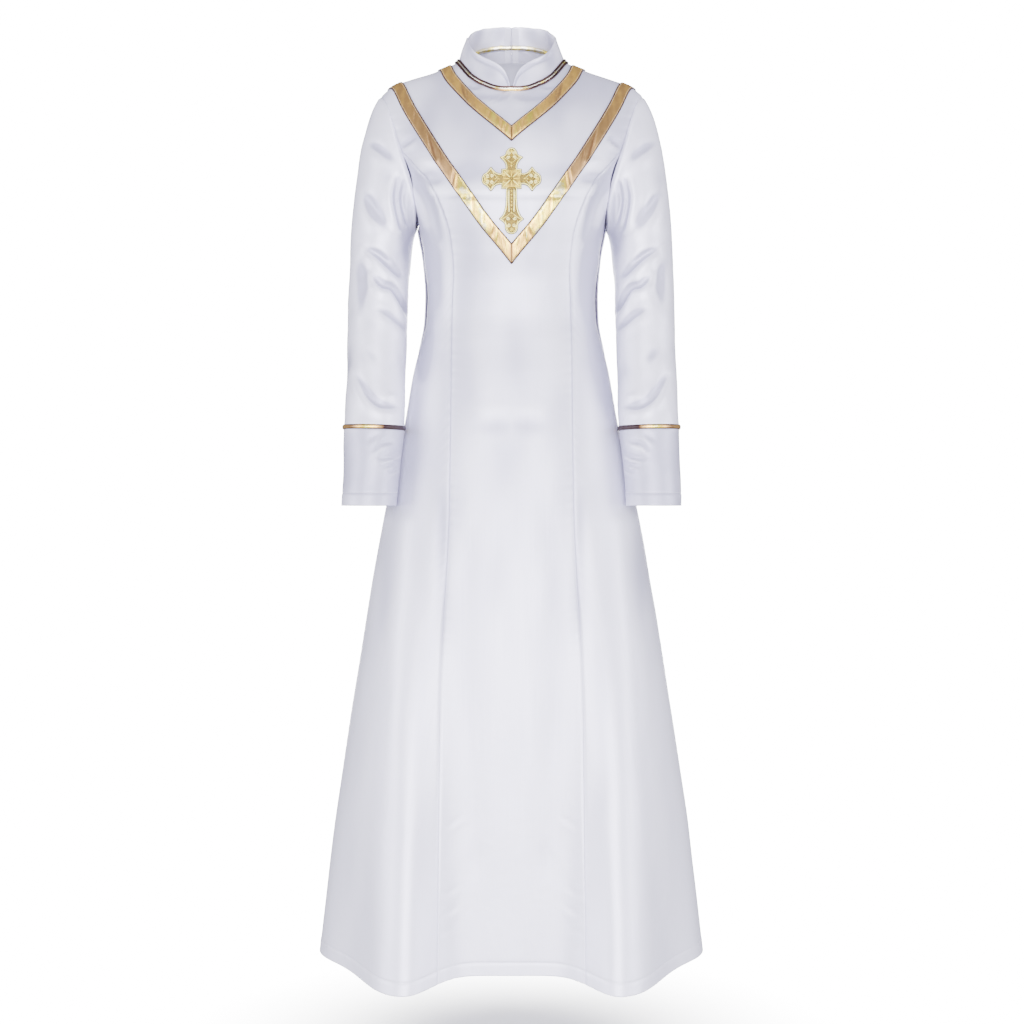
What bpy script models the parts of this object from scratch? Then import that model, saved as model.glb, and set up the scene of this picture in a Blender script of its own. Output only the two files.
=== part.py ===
# White satin cassock with gold trim, filled out as it is worn, with nobody in it.
# Metres, +Z up. The front faces -Y and +X is the right of the picture. The origin is on the
# centre line, at the height where the sides of the neck meet the shoulders.

import math
from collections import namedtuple

import bmesh
import bpy
import numpy as np
from mathutils import Matrix, Vector

FRONT = -1
BACK = 1

# Driving sizes
WALL = 0.0016
COLLAR_WALL = 0.0020
SEAM_GAP = 0.0003
HEM_HEIGHT = -1.321
UNDERARM_HEIGHT = -0.246
CUFF_SEAM_HEIGHT = -0.546
CUFF_END_HEIGHT = -0.660
COLLAR_HEIGHT = 0.037
BAND_WIDTH = 0.0155
BAND_THICKNESS = 0.0012
BAND_CLEARANCE = 0.0005
PIPING_WIDTH = 0.0054
PIPING_THICKNESS = 0.0024
PIPING_CLEARANCE = 0.0010
ZIP_LENGTH = 0.540
PULL_LENGTH = 0.019

# Level sections of the body: half width, depth in front of and behind the side seams, squareness
SECTION_COLUMNS = ("height", "half_width", "front", "back", "squareness")
SECTION_ROWS = (
    (-1.340, 0.2885, 0.149, 0.158, 2.30),
    (-1.146, 0.266, 0.143, 0.154, 2.30),
    (-0.966, 0.239, 0.138, 0.149, 2.30),
    (-0.808, 0.214, 0.130, 0.143, 2.35),
    (-0.673, 0.190, 0.122, 0.136, 2.40),
    (-0.546, 0.161, 0.113, 0.126, 2.40),
    (-0.471, 0.148, 0.105, 0.116, 2.40),
    (-0.426, 0.139, 0.098, 0.106, 2.35),
    (-0.381, 0.131, 0.093, 0.094, 2.30),
    (-0.345, 0.1298, 0.094, 0.090, 2.30),
    (-0.290, 0.134, 0.107, 0.094, 2.35),
    (-0.246, 0.142, 0.119, 0.101, 2.40),
    (-0.223, 0.1445, 0.122, 0.104, 2.40),
    (-0.193, 0.153, 0.121, 0.107, 2.40),
    (-0.160, 0.167, 0.117, 0.109, 2.40),
    (-0.126, 0.184, 0.108, 0.109, 2.40),
    (-0.081, 0.204, 0.092, 0.106, 2.40),
    (-0.050, 0.214, 0.078, 0.101, 2.40),
    (0.000, 0.225, 0.062, 0.097, 2.40),
    (0.045, 0.230, 0.050, 0.093, 2.40),
)

# Height at which the cloth would lie level, by distance from the centre line. Beyond the neck it
# is the shoulder seam, and inside the neck it only shapes the cloth that rises to the collar.
CREST_COLUMNS = ("across", "front", "back")
CREST_ROWS = (
    (0.000, 0.045, 0.080),
    (0.032, 0.026, 0.070),
    (0.062, 0.012, 0.036),
    (0.081, 0.003, 0.003),
    (0.101, -0.006, -0.006),
    (0.125, -0.015, -0.015),
    (0.150, -0.023, -0.023),
    (0.173, -0.031, -0.031),
    (0.185, -0.038, -0.038),
    (0.196, -0.048, -0.048),
    (0.210, -0.068, -0.068),
)
ROUNDING_START = -0.200
ROUNDING_POWER = 0.36

# Soft folds of the skirt, by distance from the centre line
Fold = namedtuple("Fold", "side across spread depth_at_hem top")
FOLDS = (
    Fold(FRONT, 0.166, 0.060, 0.076, -0.54),
    Fold(BACK, 0.150, 0.058, 0.060, -0.58),
    Fold(BACK, 0.052, 0.030, 0.012, -0.70),
)
FOLD_GROWTH = 1.4
FOLD_SQUARENESS = 2.4
HEM_DROP_START = -1.05
HEM_CENTRE_DROP = 0.004
HEM_LOBE_DROP = 0.019
HEM_LOBE_SPREAD = 1.1

# Princess seams, by height. Their top ends lie on the armholes.
PRINCESS_COLUMNS = ("height", "front", "back")
PRINCESS_ROWS = (
    (-1.340, 0.1035, 0.115),
    (-0.936, 0.1015, 0.106),
    (-0.652, 0.0895, 0.092),
    (-0.362, 0.0870, 0.082),
    (-0.3195, 0.0850, 0.080),
    (-0.278, 0.0885, 0.083),
    (-0.210, 0.1100, 0.104),
)

# Rows and columns of points in the panels, and the share of steps that are even across, and not
# round the section, in the side panels
HIP_HEIGHT = -0.560
SKIRT_ROWS = 10
WAIST_ROWS = 9
CHEST_ROWS = 3
CENTRE_COLUMNS = 7
SIDE_COLUMNS = 8
FLANK_EVENNESS = 0.5

# Armhole, an oval in side view on the body's surface
ARMHOLE_MIDDLE = -0.147
ARMHOLE_HALF_HEIGHT = 0.099
ARMHOLE_FRONT_REACH = 0.054
ARMHOLE_BACK_REACH = 0.058
PRINCESS_ANGLE = 84
LOWER_ARMHOLE_STEPS = 6
UPPER_ARMHOLE_STEPS = 6
ARMHOLE_INNERMOST = 0.080

# Neck ring, an oval in plan on the body's surface
NECK_HALF_WIDTH = 0.080
NECK_FRONT = 0.066
NECK_BACK = 0.060
NECK_STEP = 10
NECK_LOWEST = -0.120

# Collar's top edge in plan, and its height along the neck seam from the open notch at the front
COLLAR_TOP_HALF_WIDTH = 0.0675
COLLAR_TOP_FRONT = 0.063
COLLAR_TOP_BACK = 0.047
COLLAR_ANGLES = (3, 5, 7, 10, 13, 17, 22, *range(30, 181, NECK_STEP))
COLLAR_EDGE_COLUMNS = ("angle", "height")
COLLAR_EDGE_ROWS = (
    (3, 0.0045),
    (7, 0.0120),
    (10, 0.0205),
    (17, 0.0275),
    (28, 0.0325),
    (42, 0.0325),
    (58, 0.0295),
    (75, 0.0315),
    (95, 0.0370),
    (180, 0.0370),
)

# Sleeve and cuff, level rings down the arm
RING_COLUMNS = ("height", "centre_x", "centre_y", "half_width", "half_depth")
RING_ROWS = (
    (-0.660, 0.2063, -0.088, 0.0390, 0.0405),
    (-0.600, 0.2035, -0.077, 0.0415, 0.0420),
    (-0.546, 0.2010, -0.066, 0.0436, 0.0440),
    (-0.516, 0.2005, -0.057, 0.0438, 0.0450),
    (-0.426, 0.1993, -0.030, 0.0440, 0.0480),
    (-0.336, 0.1980, -0.010, 0.0447, 0.0515),
    (-0.300, 0.1965, -0.002, 0.0457, 0.0530),
)
UPPER_ARM_HEIGHT = -0.300
CAP_TOP_PULL = Vector((0.707, 0.0, -0.707)) * 0.150
CAP_UNDER_PULL = Vector((0.40, 0.0, -0.92)) * 0.050
CAP_SIDE_PULL = 0.020
CAP_ARRIVAL = Vector((0.02, -0.10, -1.0))
CAP_END_TOP = 0.150
CAP_END_UNDER = 0.045
CAP_RINGS = 6
ARM_RINGS = 7
CUFF_RINGS = 3

# Gold bands on the chest: middle lines from the shoulder seam to the centre front, and how many
# steps each stretch takes
BandPoint = namedtuple("BandPoint", "across height steps_to_next")
ON_SHOULDER_SEAM = None
BANDS = {
    "inner_band": (
        BandPoint(0.0950, ON_SHOULDER_SEAM, 8),
        BandPoint(0.0862, -0.0225, 6),
        BandPoint(0.0585, -0.0650, 5),
        BandPoint(0.0190, -0.1056, 3),
        BandPoint(0.0000, -0.1232, 0),
    ),
    "outer_band": (
        BandPoint(0.1720, ON_SHOULDER_SEAM, 12),
        BandPoint(0.1508, -0.0662, 9),
        BandPoint(0.1099, -0.1458, 7),
        BandPoint(0.0667, -0.2116, 8),
        BandPoint(0.0000, -0.2971, 0),
    ),
}
SHOULDER_SEAM_RISE = math.pi / 2 - 0.004
BAND_LOOK_ALONG = 0.05

# Cross on the chest: a square hub and four arms, each with a slim shaft, two spread points and a
# round end. The outline runs back from the arm's end.
CROSS_HEIGHT = -0.1927
CROSS_HUB = 0.0140
CROSS_SHAFT = 0.0078
CROSS_ARMS = {"top": 0.0480, "bottom": 0.0780, "left": 0.0420, "right": 0.0420}
CROSS_SHAFT_STEP = 0.0100
ArmPoint = namedtuple("ArmPoint", "from_end half_width")
ARM_END = (
    ArmPoint(0.0240, 0.0078),
    ArmPoint(0.0205, 0.0094),
    ArmPoint(0.0175, 0.0121),
    ArmPoint(0.0150, 0.0156),
    ArmPoint(0.0132, 0.0118),
    ArmPoint(0.0112, 0.0090),
    ArmPoint(0.0080, 0.0084),
    ArmPoint(0.0045, 0.0070),
    ArmPoint(0.0016, 0.0044),
    ArmPoint(0.0000, 0.0012),
)
# Across an arm the embroidery stands up along its two borders and along its middle.
Relief = namedtuple("Relief", "part thickness")
CROSS_RELIEF = (
    Relief(-1.00, 0.0013),
    Relief(-0.76, 0.0023),
    Relief(-0.50, 0.0014),
    Relief(0.00, 0.0024),
    Relief(0.50, 0.0014),
    Relief(0.76, 0.0023),
    Relief(1.00, 0.0013),
)

# Gold inside the back of the neck, narrower than the piping outside
BINDING_SHARE = 0.8
BINDING_START_ANGLE = 110

# Zip at the centre back
TAPE_WIDTH = 0.0105
TAPE_THICKNESS = 0.0010
TAPE_NECK_CLEARANCE = 0.010
SLIDER_DROP = 0.0075
SLIDER_SIZE = (0.0070, 0.0110, 0.0020)
BRIDGE_WIDTH = 0.0015
BRIDGE_RISE = 0.0030
BRIDGE_CLEAR = 0.0018
BRIDGE_FOOT = 0.0012
BRIDGE_LOW = -0.0009
BRIDGE_HIGH = 0.0024
HINGE_RISE = 0.0010
PULL_THICKNESS = 0.0010
PULL_ROOT_HALF_WIDTH = 0.0022
PULL_NECK_HALF_WIDTH = 0.0027
PULL_NECK_DROP = 0.0060
PULL_END_RADIUS = 0.0031
PULL_END_STEPS = 6
EYE_WIDTH = 0.0028
EYE_LENGTH = 0.0032

# Colour, roughness and metallic value of each material
FINISHES = {
    "white_satin": ((0.84, 0.84, 0.87), 0.40, 0.0),
    "gold_lame": ((0.83, 0.62, 0.28), 0.34, 0.85),
    "gold_embroidery": ((0.86, 0.67, 0.30), 0.45, 0.60),
    "zip_tape": ((0.86, 0.86, 0.88), 0.80, 0.0),
    "zip_metal": ((0.78, 0.78, 0.80), 0.30, 1.0),
}


# Tables and small maths

class Profile:
    # Smooth values between the rows of a short table, without overshoot.
    def __init__(self, columns, rows):
        rows = sorted(rows)
        self.keys = np.array([row[0] for row in rows])
        self.values = {}
        self.slopes = {}
        for index, column in enumerate(columns[1:], start=1):
            values = np.array([row[index] for row in rows])
            self.values[column] = values
            self.slopes[column] = self.knot_slopes(values)

    def knot_slopes(self, values):
        steps = np.diff(self.keys)
        rates = np.diff(values) / steps
        slopes = np.zeros(len(values))
        slopes[0] = rates[0]
        slopes[-1] = rates[-1]
        for i in range(1, len(values) - 1):
            if rates[i - 1] * rates[i] > 0:
                first = 2 * steps[i] + steps[i - 1]
                second = steps[i] + 2 * steps[i - 1]
                slopes[i] = (first + second) / (first / rates[i - 1] + second / rates[i])
        return slopes

    def at(self, column, key):
        key = min(max(key, self.keys[0]), self.keys[-1])
        i = min(int(np.searchsorted(self.keys, key, side="right")) - 1, len(self.keys) - 2)
        step = self.keys[i + 1] - self.keys[i]
        t = (key - self.keys[i]) / step
        values = self.values[column]
        slopes = self.slopes[column]
        start = (1 + 2 * t) * (1 - t) ** 2 * values[i] + t * (1 - t) ** 2 * step * slopes[i]
        end = t * t * (3 - 2 * t) * values[i + 1] - t * t * (1 - t) * step * slopes[i + 1]
        return float(start + end)


def crossing(inside, low, high):
    # The place between low, where inside is true, and high, where it is false.
    for _ in range(48):
        middle = (low + high) / 2
        if inside(middle):
            low = middle
        else:
            high = middle
    return (low + high) / 2


def smooth_step(value):
    value = min(max(value, 0.0), 1.0)
    return value * value * (3 - 2 * value)


def spread(first, last, steps):
    return [first + (last - first) * i / steps for i in range(steps + 1)]


def side_name(side):
    return "front" if side == FRONT else "back"


def centre_angle(side):
    return 0 if side == FRONT else 180


SECTIONS = Profile(SECTION_COLUMNS, SECTION_ROWS)
CREST = Profile(CREST_COLUMNS, CREST_ROWS)
RINGS = Profile(RING_COLUMNS, RING_ROWS)
COLLAR_EDGE = Profile(COLLAR_EDGE_COLUMNS, COLLAR_EDGE_ROWS)


# The body's surface. A place on it is a distance across and a rise: the rise is an angle that is
# zero where the cloth starts to round over to the shoulder and a quarter turn on the crest.

RISE_RATE = math.sqrt(0.5 / ROUNDING_POWER)
CREST_RISE = math.pi / 2


def crest_span(x, side):
    return CREST.at(side_name(side), abs(x)) - ROUNDING_START


def height_at(x, rise, side):
    if rise <= 0:
        return ROUNDING_START + crest_span(x, side) * RISE_RATE * rise
    part = math.sqrt(max(0.0, 1 - max(0.0, math.cos(rise)) ** (1 / ROUNDING_POWER)))
    return ROUNDING_START + crest_span(x, side) * part


def rise_at(x, z, side):
    part = (z - ROUNDING_START) / crest_span(x, side)
    if part <= 0:
        return part / RISE_RATE
    return math.acos((1 - min(part, 1.0) ** 2) ** ROUNDING_POWER)


def section_angle(x, z):
    squareness = SECTIONS.at("squareness", z)
    part = min(abs(x) / SECTIONS.at("half_width", z), 1.0)
    return math.asin(part ** (squareness / 2))


def across_at(angle, z):
    return SECTIONS.at("half_width", z) * math.sin(angle) ** (2 / SECTIONS.at("squareness", z))


def fold_shape(part):
    return math.exp(-abs(part) ** FOLD_SQUARENESS)


def fold_depth(x, z, side):
    depth = 0.0
    for fold in FOLDS:
        if side == fold.side and z < fold.top:
            growth = ((fold.top - z) / (fold.top - HEM_HEIGHT)) ** FOLD_GROWTH
            depth += fold.depth_at_hem * growth * fold_shape((abs(x) - fold.across) / fold.spread)
    return depth


def body_depth(x, z, side):
    # Distance of the cloth in front of the side seams, or behind them.
    facing = math.cos(section_angle(x, z))
    depth = SECTIONS.at(side_name(side), z) * facing ** (2 / SECTIONS.at("squareness", z))
    depth += fold_depth(x, z, side) * facing
    part = (z - ROUNDING_START) / crest_span(x, side)
    if part > 0:
        depth *= (1 - min(part, 1.0) ** 2) ** ROUNDING_POWER
    return depth


def body_point(x, z, side):
    return Vector((x, side * body_depth(x, z, side), z))


def risen_point(x, rise, side):
    z = height_at(x, rise, side)
    if rise <= 0:
        return body_point(x, min(z, ROUNDING_START), side)
    facing = math.cos(section_angle(x, z)) ** (2 / SECTIONS.at("squareness", z))
    depth = SECTIONS.at(side_name(side), z) * facing * math.cos(rise)
    return Vector((x, side * depth, z))


def surface_frame(x, rise, side):
    # Point, outward normal and the two steps across and up the surface.
    step = 0.0005
    place = risen_point(x, rise, side)
    turn = min(rise, CREST_RISE - step)
    across = (risen_point(x + step, turn, side) - risen_point(x - step, turn, side)) / (2 * step)
    upward = (risen_point(x, turn + step, side) - risen_point(x, turn - step, side)) / (2 * step)
    normal = across.cross(upward).normalized() * -side
    return place, normal, across, upward


def hem_shift(x, z, side):
    # The hem hangs a little lower in the middle, and lower still on the first fold of each side.
    lobe = next(fold for fold in FOLDS if fold.side == side)
    weight = smooth_step((HEM_DROP_START - z) / (HEM_DROP_START - HEM_HEIGHT))
    weight *= math.cos(section_angle(x, z))
    reach = (abs(x) - lobe.across) / (lobe.spread * HEM_LOBE_SPREAD)
    return -weight * (HEM_CENTRE_DROP + HEM_LOBE_DROP * fold_shape(reach))


def skirt_point(x, z, side):
    return body_point(x, z + hem_shift(x, z, side), side)


# Armhole, princess seams and neck ring

def armhole_spot(angle, side):
    turn = math.radians(angle)
    z = ARMHOLE_MIDDLE + ARMHOLE_HALF_HEIGHT * math.cos(turn)
    reach = ARMHOLE_FRONT_REACH if side == FRONT else ARMHOLE_BACK_REACH
    depth = reach * math.sin(turn)

    def inside(x):
        if CREST.at(side_name(side), x) <= z:
            return False
        return body_depth(x, z, side) > depth

    x = crossing(inside, ARMHOLE_INNERMOST, SECTIONS.at("half_width", z))
    return Vector((x, side * depth, z))


def armhole_angles():
    lower = spread(180, PRINCESS_ANGLE, LOWER_ARMHOLE_STEPS)
    upper = spread(PRINCESS_ANGLE, 0, UPPER_ARMHOLE_STEPS)
    return lower, upper


def princess_profile():
    rows = list(PRINCESS_ROWS)
    ends = {side: armhole_spot(PRINCESS_ANGLE, side) for side in (FRONT, BACK)}
    rows.append((ends[FRONT].z, ends[FRONT].x, ends[BACK].x))
    return Profile(PRINCESS_COLUMNS, rows)


PRINCESS = princess_profile()


def neck_spot(angle):
    # Angle 0 is the centre front, 90 the side of the neck and 180 the centre back.
    turn = math.radians(angle)
    x = NECK_HALF_WIDTH * math.sin(turn)
    side = FRONT if angle <= 90 else BACK
    reach = NECK_FRONT if side == FRONT else NECK_BACK
    depth = reach * abs(math.cos(turn))
    if angle == 90:
        return Vector((x, 0.0, CREST.at("front", x)))
    crest = CREST.at(side_name(side), x)
    z = crossing(lambda height: body_depth(x, height, side) > depth, NECK_LOWEST, crest)
    return Vector((max(x, 0.0), side * depth, z))


NECK_STATIONS = {angle: neck_spot(angle) for angle in range(0, 181, NECK_STEP)}


def neck_point(angle):
    # The neck seam is straight between its stations, on the body and on the collar alike.
    low = min(int(angle // NECK_STEP) * NECK_STEP, 180 - NECK_STEP)
    part = (angle - low) / NECK_STEP
    return NECK_STATIONS[low].lerp(NECK_STATIONS[low + NECK_STEP], part)


# Grids of points for the panels, given for the right half

def skirt_heights():
    lower = spread(HEM_HEIGHT, HIP_HEIGHT, SKIRT_ROWS)
    return lower + spread(HIP_HEIGHT, UNDERARM_HEIGHT, WAIST_ROWS)[1:]


def centre_rows(side):
    # From the centre line out to the princess seam, then to the armhole and the shoulder seam.
    rows = []
    lower, upper = armhole_angles()
    heights = skirt_heights() + [armhole_spot(angle, side).z for angle in lower[1:]]
    for z in heights[:-1]:
        edge = PRINCESS.at(side_name(side), z)
        rows.append([skirt_point(x, z, side) for x in spread(0, edge, CENTRE_COLUMNS)])
    inner = [Vector((0, 0, z)) for z in spread(heights[-1], neck_point(centre_angle(side)).z, CHEST_ROWS)]
    angles = range(0, 91, NECK_STEP) if side == FRONT else range(180, 89, -NECK_STEP)
    inner = inner[:-1] + [neck_point(angle) for angle in angles]
    outer = []
    for first, second in zip(upper, upper[1:]):
        start = armhole_spot(first, side)
        outer += [start, start.lerp(armhole_spot(second, side), 0.5)]
    outer.append(armhole_spot(0, side))
    for start, end in zip(inner, outer):
        rises = [rise_at(spot.x, spot.z, side) for spot in (start, end)]
        if end is outer[-1]:
            rises = [CREST_RISE, CREST_RISE]
        places = zip(spread(start.x, end.x, CENTRE_COLUMNS), spread(*rises, CENTRE_COLUMNS))
        row = [risen_point(x, rise, side) for x, rise in places]
        rows.append(row[:-1] + [end])
    return rows


def flank_angles(start, end):
    # Closer together beside the side seam, where the section turns.
    power = SECTIONS.at("squareness", HEM_HEIGHT) / 2
    low, high = math.sin(start) ** (1 / power), math.sin(end) ** (1 / power)
    angles = []
    for part in spread(0, 1, SIDE_COLUMNS):
        round_section = start + (end - start) * part
        across = math.asin(min(1.0, low + (high - low) * part) ** power)
        angles.append(round_section + (across - round_section) * FLANK_EVENNESS)
    return angles


def side_rows(side):
    # From the princess seam round to the side seam, then up to a point on the armhole.
    rows = []
    lower, upper = armhole_angles()
    for z in skirt_heights():
        start = section_angle(PRINCESS.at(side_name(side), z), z)
        angles = flank_angles(start, math.pi / 2)
        rows.append([skirt_point(across_at(angle, z), z, side) for angle in angles])
    for armhole_angle in lower[1:-1]:
        end = armhole_spot(armhole_angle, side)
        start = section_angle(PRINCESS.at(side_name(side), end.z), end.z)
        angles = flank_angles(start, section_angle(end.x, end.z))
        row = [body_point(across_at(angle, end.z), end.z, side) for angle in angles]
        rows.append(row[:-1] + [end])
    rows.append([armhole_spot(lower[-1], side)] * (SIDE_COLUMNS + 1))
    return rows


def armhole_ring():
    lower, upper = armhole_angles()
    angles = lower + upper[1:]
    front = [(angle, FRONT) for angle in angles]
    back = [(angle, BACK) for angle in reversed(angles[1:-1])]
    return front + back


def sleeve_ring(z):
    centre_x = RINGS.at("centre_x", z)
    centre_y = RINGS.at("centre_y", z)
    ring = []
    for angle, side in armhole_ring():
        turn = math.radians(angle)
        x = centre_x + RINGS.at("half_width", z) * math.cos(turn)
        y = centre_y + side * RINGS.at("half_depth", z) * math.sin(turn)
        ring.append(Vector((x, y, z)))
    return ring


def sleeve_cap_rings():
    end_ring = sleeve_ring(UPPER_ARM_HEIGHT)
    rings = []
    for t in spread(0, 1, CAP_RINGS):
        ring = []
        for (angle, side), end in zip(armhole_ring(), end_ring):
            turn = math.radians(angle)
            top = (1 + math.cos(turn)) / 2
            start = armhole_spot(angle, side)
            leaving = CAP_UNDER_PULL.lerp(CAP_TOP_PULL, top)
            leaving = leaving + Vector((0, side * CAP_SIDE_PULL * math.sin(turn), 0))
            start = start + leaving.normalized() * SEAM_GAP
            reach = CAP_END_UNDER + (CAP_END_TOP - CAP_END_UNDER) * top
            arriving = CAP_ARRIVAL * reach
            place = start * ((1 + 2 * t) * (1 - t) ** 2) + leaving * (t * (1 - t) ** 2)
            place += end * (t * t * (3 - 2 * t)) - arriving * (t * t * (1 - t))
            ring.append(place)
        rings.append(ring)
    return rings


def sleeve_rings():
    heights = spread(UPPER_ARM_HEIGHT, CUFF_SEAM_HEIGHT, ARM_RINGS)[1:]
    return sleeve_cap_rings() + [sleeve_ring(z) for z in heights]


def cuff_rings():
    return [sleeve_ring(z) for z in spread(CUFF_SEAM_HEIGHT, CUFF_END_HEIGHT, CUFF_RINGS)]


def collar_top(angle):
    base = neck_point(angle)
    turn = math.radians(angle)
    reach = COLLAR_TOP_FRONT if angle <= 90 else COLLAR_TOP_BACK
    middle = (COLLAR_TOP_BACK - COLLAR_TOP_FRONT) / 2
    half_depth = (COLLAR_TOP_BACK + COLLAR_TOP_FRONT) / 2
    x = COLLAR_TOP_HALF_WIDTH * math.sin(turn)
    y = middle - half_depth * math.cos(turn)
    run = math.hypot(x - base.x, y - base.y)
    return Vector((x, y, base.z + math.sqrt(COLLAR_HEIGHT ** 2 - run ** 2)))


def collar_rows(rows=4):
    columns = []
    for angle in COLLAR_ANGLES:
        base = neck_point(angle)
        upward = (collar_top(angle) - base).normalized()
        start = base + upward * SEAM_GAP
        height = COLLAR_EDGE.at("height", angle)
        columns.append([start + upward * height * i / rows for i in range(rows + 1)])
    for point in columns[-1]:
        point.x = 0.0
    return [list(row) for row in zip(*columns)]


# Cloth walls from grids of points

def point_key(point):
    return tuple(round(value, 6) + 0.0 for value in point)


def grid_faces(rows, closed=False):
    # Quads between neighbouring rows, or triangles where two of the points are one.
    faces = []
    for low, high in zip(rows, rows[1:]):
        count = len(low) if closed else len(low) - 1
        for i in range(count):
            j = (i + 1) % len(low)
            corners = [low[i], low[j], high[j], high[i]]
            distinct = []
            for n, corner in enumerate(corners):
                if point_key(corner) != point_key(corners[n - 1]):
                    distinct.append(corner)
            if len(distinct) > 2:
                faces.append(distinct)
    return faces


def face_normal(face):
    normal = Vector((0, 0, 0))
    for n, corner in enumerate(face):
        normal += face[n - 1].cross(corner)
    return normal


def facing_out(faces, axis_at):
    # All the faces turned so that they look away from the line that axis_at gives by height.
    total = 0.0
    for face in faces:
        middle = sum(face, Vector()) / len(face)
        out = middle - axis_at(middle.z)
        total += face_normal(face).dot(Vector((out.x, out.y, 0)))
    return faces if total > 0 else [face[::-1] for face in faces]


def mirrored(faces):
    return [[Vector((-p.x, p.y, p.z)) for p in face][::-1] for face in faces]


def shared_normals(faces):
    normals = {}
    for face in faces:
        normal = face_normal(face)
        for corner in face:
            key = point_key(corner)
            normals[key] = normals.get(key, Vector()) + normal
    return {key: normal.normalized() for key, normal in normals.items()}


def edge_insets(faces, amount):
    # Steps that move the outline of a sheet inwards, along the sheet, by the given amount.
    edges = {}
    for face in faces:
        normal = face_normal(face).normalized()
        for n, corner in enumerate(face):
            start = face[n - 1]
            pair = (point_key(start), point_key(corner))
            edges[pair] = normal.cross(corner - start).normalized()
    inward = {}
    for (start, end), direction in edges.items():
        if (end, start) not in edges:
            inward.setdefault(start, []).append(direction)
            inward.setdefault(end, []).append(direction)
    insets = {}
    for key, directions in inward.items():
        first, second = directions[0], directions[-1]
        insets[key] = (first + second) * (amount / max(0.35, 1 + first.dot(second)))
    return insets


def new_object(name, mesh, finish, sharp=40):
    mesh.materials.append(material(finish))
    mesh.shade_smooth()
    mesh.set_sharp_from_angle(angle=math.radians(sharp))
    thing = bpy.data.objects.new(name, mesh)
    bpy.context.scene.collection.objects.link(thing)
    thing.parent = holder
    return thing


def mesh_from(bm, name):
    bmesh.ops.triangulate(bm, faces=[face for face in bm.faces if len(face.verts) > 4])
    mesh = bpy.data.meshes.new(name)
    bm.to_mesh(mesh)
    bm.free()
    return mesh


def cloth_wall(name, faces, normals, thickness=WALL, finish="white_satin", inset=SEAM_GAP / 2):
    insets = edge_insets(faces, inset)
    bm = bmesh.new()
    outer = {}
    inner = {}
    for face in faces:
        for corner in face:
            key = point_key(corner)
            if key not in outer:
                place = corner + insets.get(key, Vector())
                outer[key] = bm.verts.new(place)
                inner[key] = bm.verts.new(place - normals[key] * thickness)
    rims = set()
    for face in faces:
        keys = [point_key(corner) for corner in face]
        bm.faces.new([outer[key] for key in keys])
        bm.faces.new([inner[key] for key in reversed(keys)])
        for n, key in enumerate(keys):
            rims.add((keys[n - 1], key))
    for start, end in sorted(rims):
        if (end, start) not in rims:
            bm.faces.new([outer[end], outer[start], inner[start], inner[end]])
    return new_object(name, mesh_from(bm, name), finish)


def tube(name, centres, outs, alongs, half_width, half_thickness, finish, closed=False, sides=6):
    # Oval piping: outs point away from the cloth and alongs lie along it, across the seam.
    bm = bmesh.new()
    rings = []
    for centre, out, along in zip(centres, outs, alongs):
        ring = []
        for i in range(sides):
            turn = 2 * math.pi * (i + 0.5) / sides
            offset = along * half_width * math.cos(turn) + out * half_thickness * math.sin(turn)
            ring.append(bm.verts.new(centre + offset))
        rings.append(ring)
    if closed:
        rings.append(rings[0])
    for low, high in zip(rings, rings[1:]):
        for i in range(sides):
            j = (i + 1) % sides
            bm.faces.new([low[i], low[j], high[j], high[i]])
    if not closed:
        bm.faces.new(rings[0][::-1])
        bm.faces.new(rings[-1])
    bmesh.ops.recalc_face_normals(bm, faces=bm.faces)
    return new_object(name, mesh_from(bm, name), finish)


def slab(name, faces_low, faces_high, finish):
    # A closed piece between two matching sheets, the low one against the cloth.
    bm = bmesh.new()
    low = {}
    high = {}
    rims = set()
    for low_face, high_face in zip(faces_low, faces_high):
        keys = [point_key(corner) for corner in low_face]
        for key, low_corner, high_corner in zip(keys, low_face, high_face):
            if key not in low:
                low[key] = bm.verts.new(low_corner)
                high[key] = bm.verts.new(high_corner)
        bm.faces.new([high[key] for key in keys])
        bm.faces.new([low[key] for key in reversed(keys)])
        for n, key in enumerate(keys):
            rims.add((keys[n - 1], key))
    for start, end in sorted(rims):
        if (end, start) not in rims:
            bm.faces.new([high[end], high[start], low[start], low[end]])
    bmesh.ops.recalc_face_normals(bm, faces=bm.faces)
    return new_object(name, mesh_from(bm, name), finish)


def material(finish):
    found = bpy.data.materials.get(finish)
    if found:
        return found
    colour, roughness, metallic = FINISHES[finish]
    made = bpy.data.materials.new(finish)
    made.use_nodes = True
    shader = made.node_tree.nodes["Principled BSDF"]
    shader.inputs["Base Color"].default_value = (*colour, 1.0)
    shader.inputs["Roughness"].default_value = roughness
    shader.inputs["Metallic"].default_value = metallic
    return made


# Body panels

def body_axis(z):
    return Vector((0, 0, z))


def sleeve_axis(z):
    return Vector((RINGS.at("centre_x", z), RINGS.at("centre_y", z), z))


def build_body():
    panels = {}
    for side in (FRONT, BACK):
        centre = facing_out(grid_faces(centre_rows(side)), body_axis)
        flank = facing_out(grid_faces(side_rows(side)), body_axis)
        if side == FRONT:
            panels["front_centre"] = centre + mirrored(centre)
            panels["front_side_right"] = flank
            panels["front_side_left"] = mirrored(flank)
        else:
            panels["back_right"] = centre
            panels["back_left"] = mirrored(centre)
            panels["back_side_right"] = flank
            panels["back_side_left"] = mirrored(flank)
    normals = shared_normals([face for faces in panels.values() for face in faces])
    for name, faces in panels.items():
        cloth_wall(name, faces, normals)
    return normals


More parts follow.
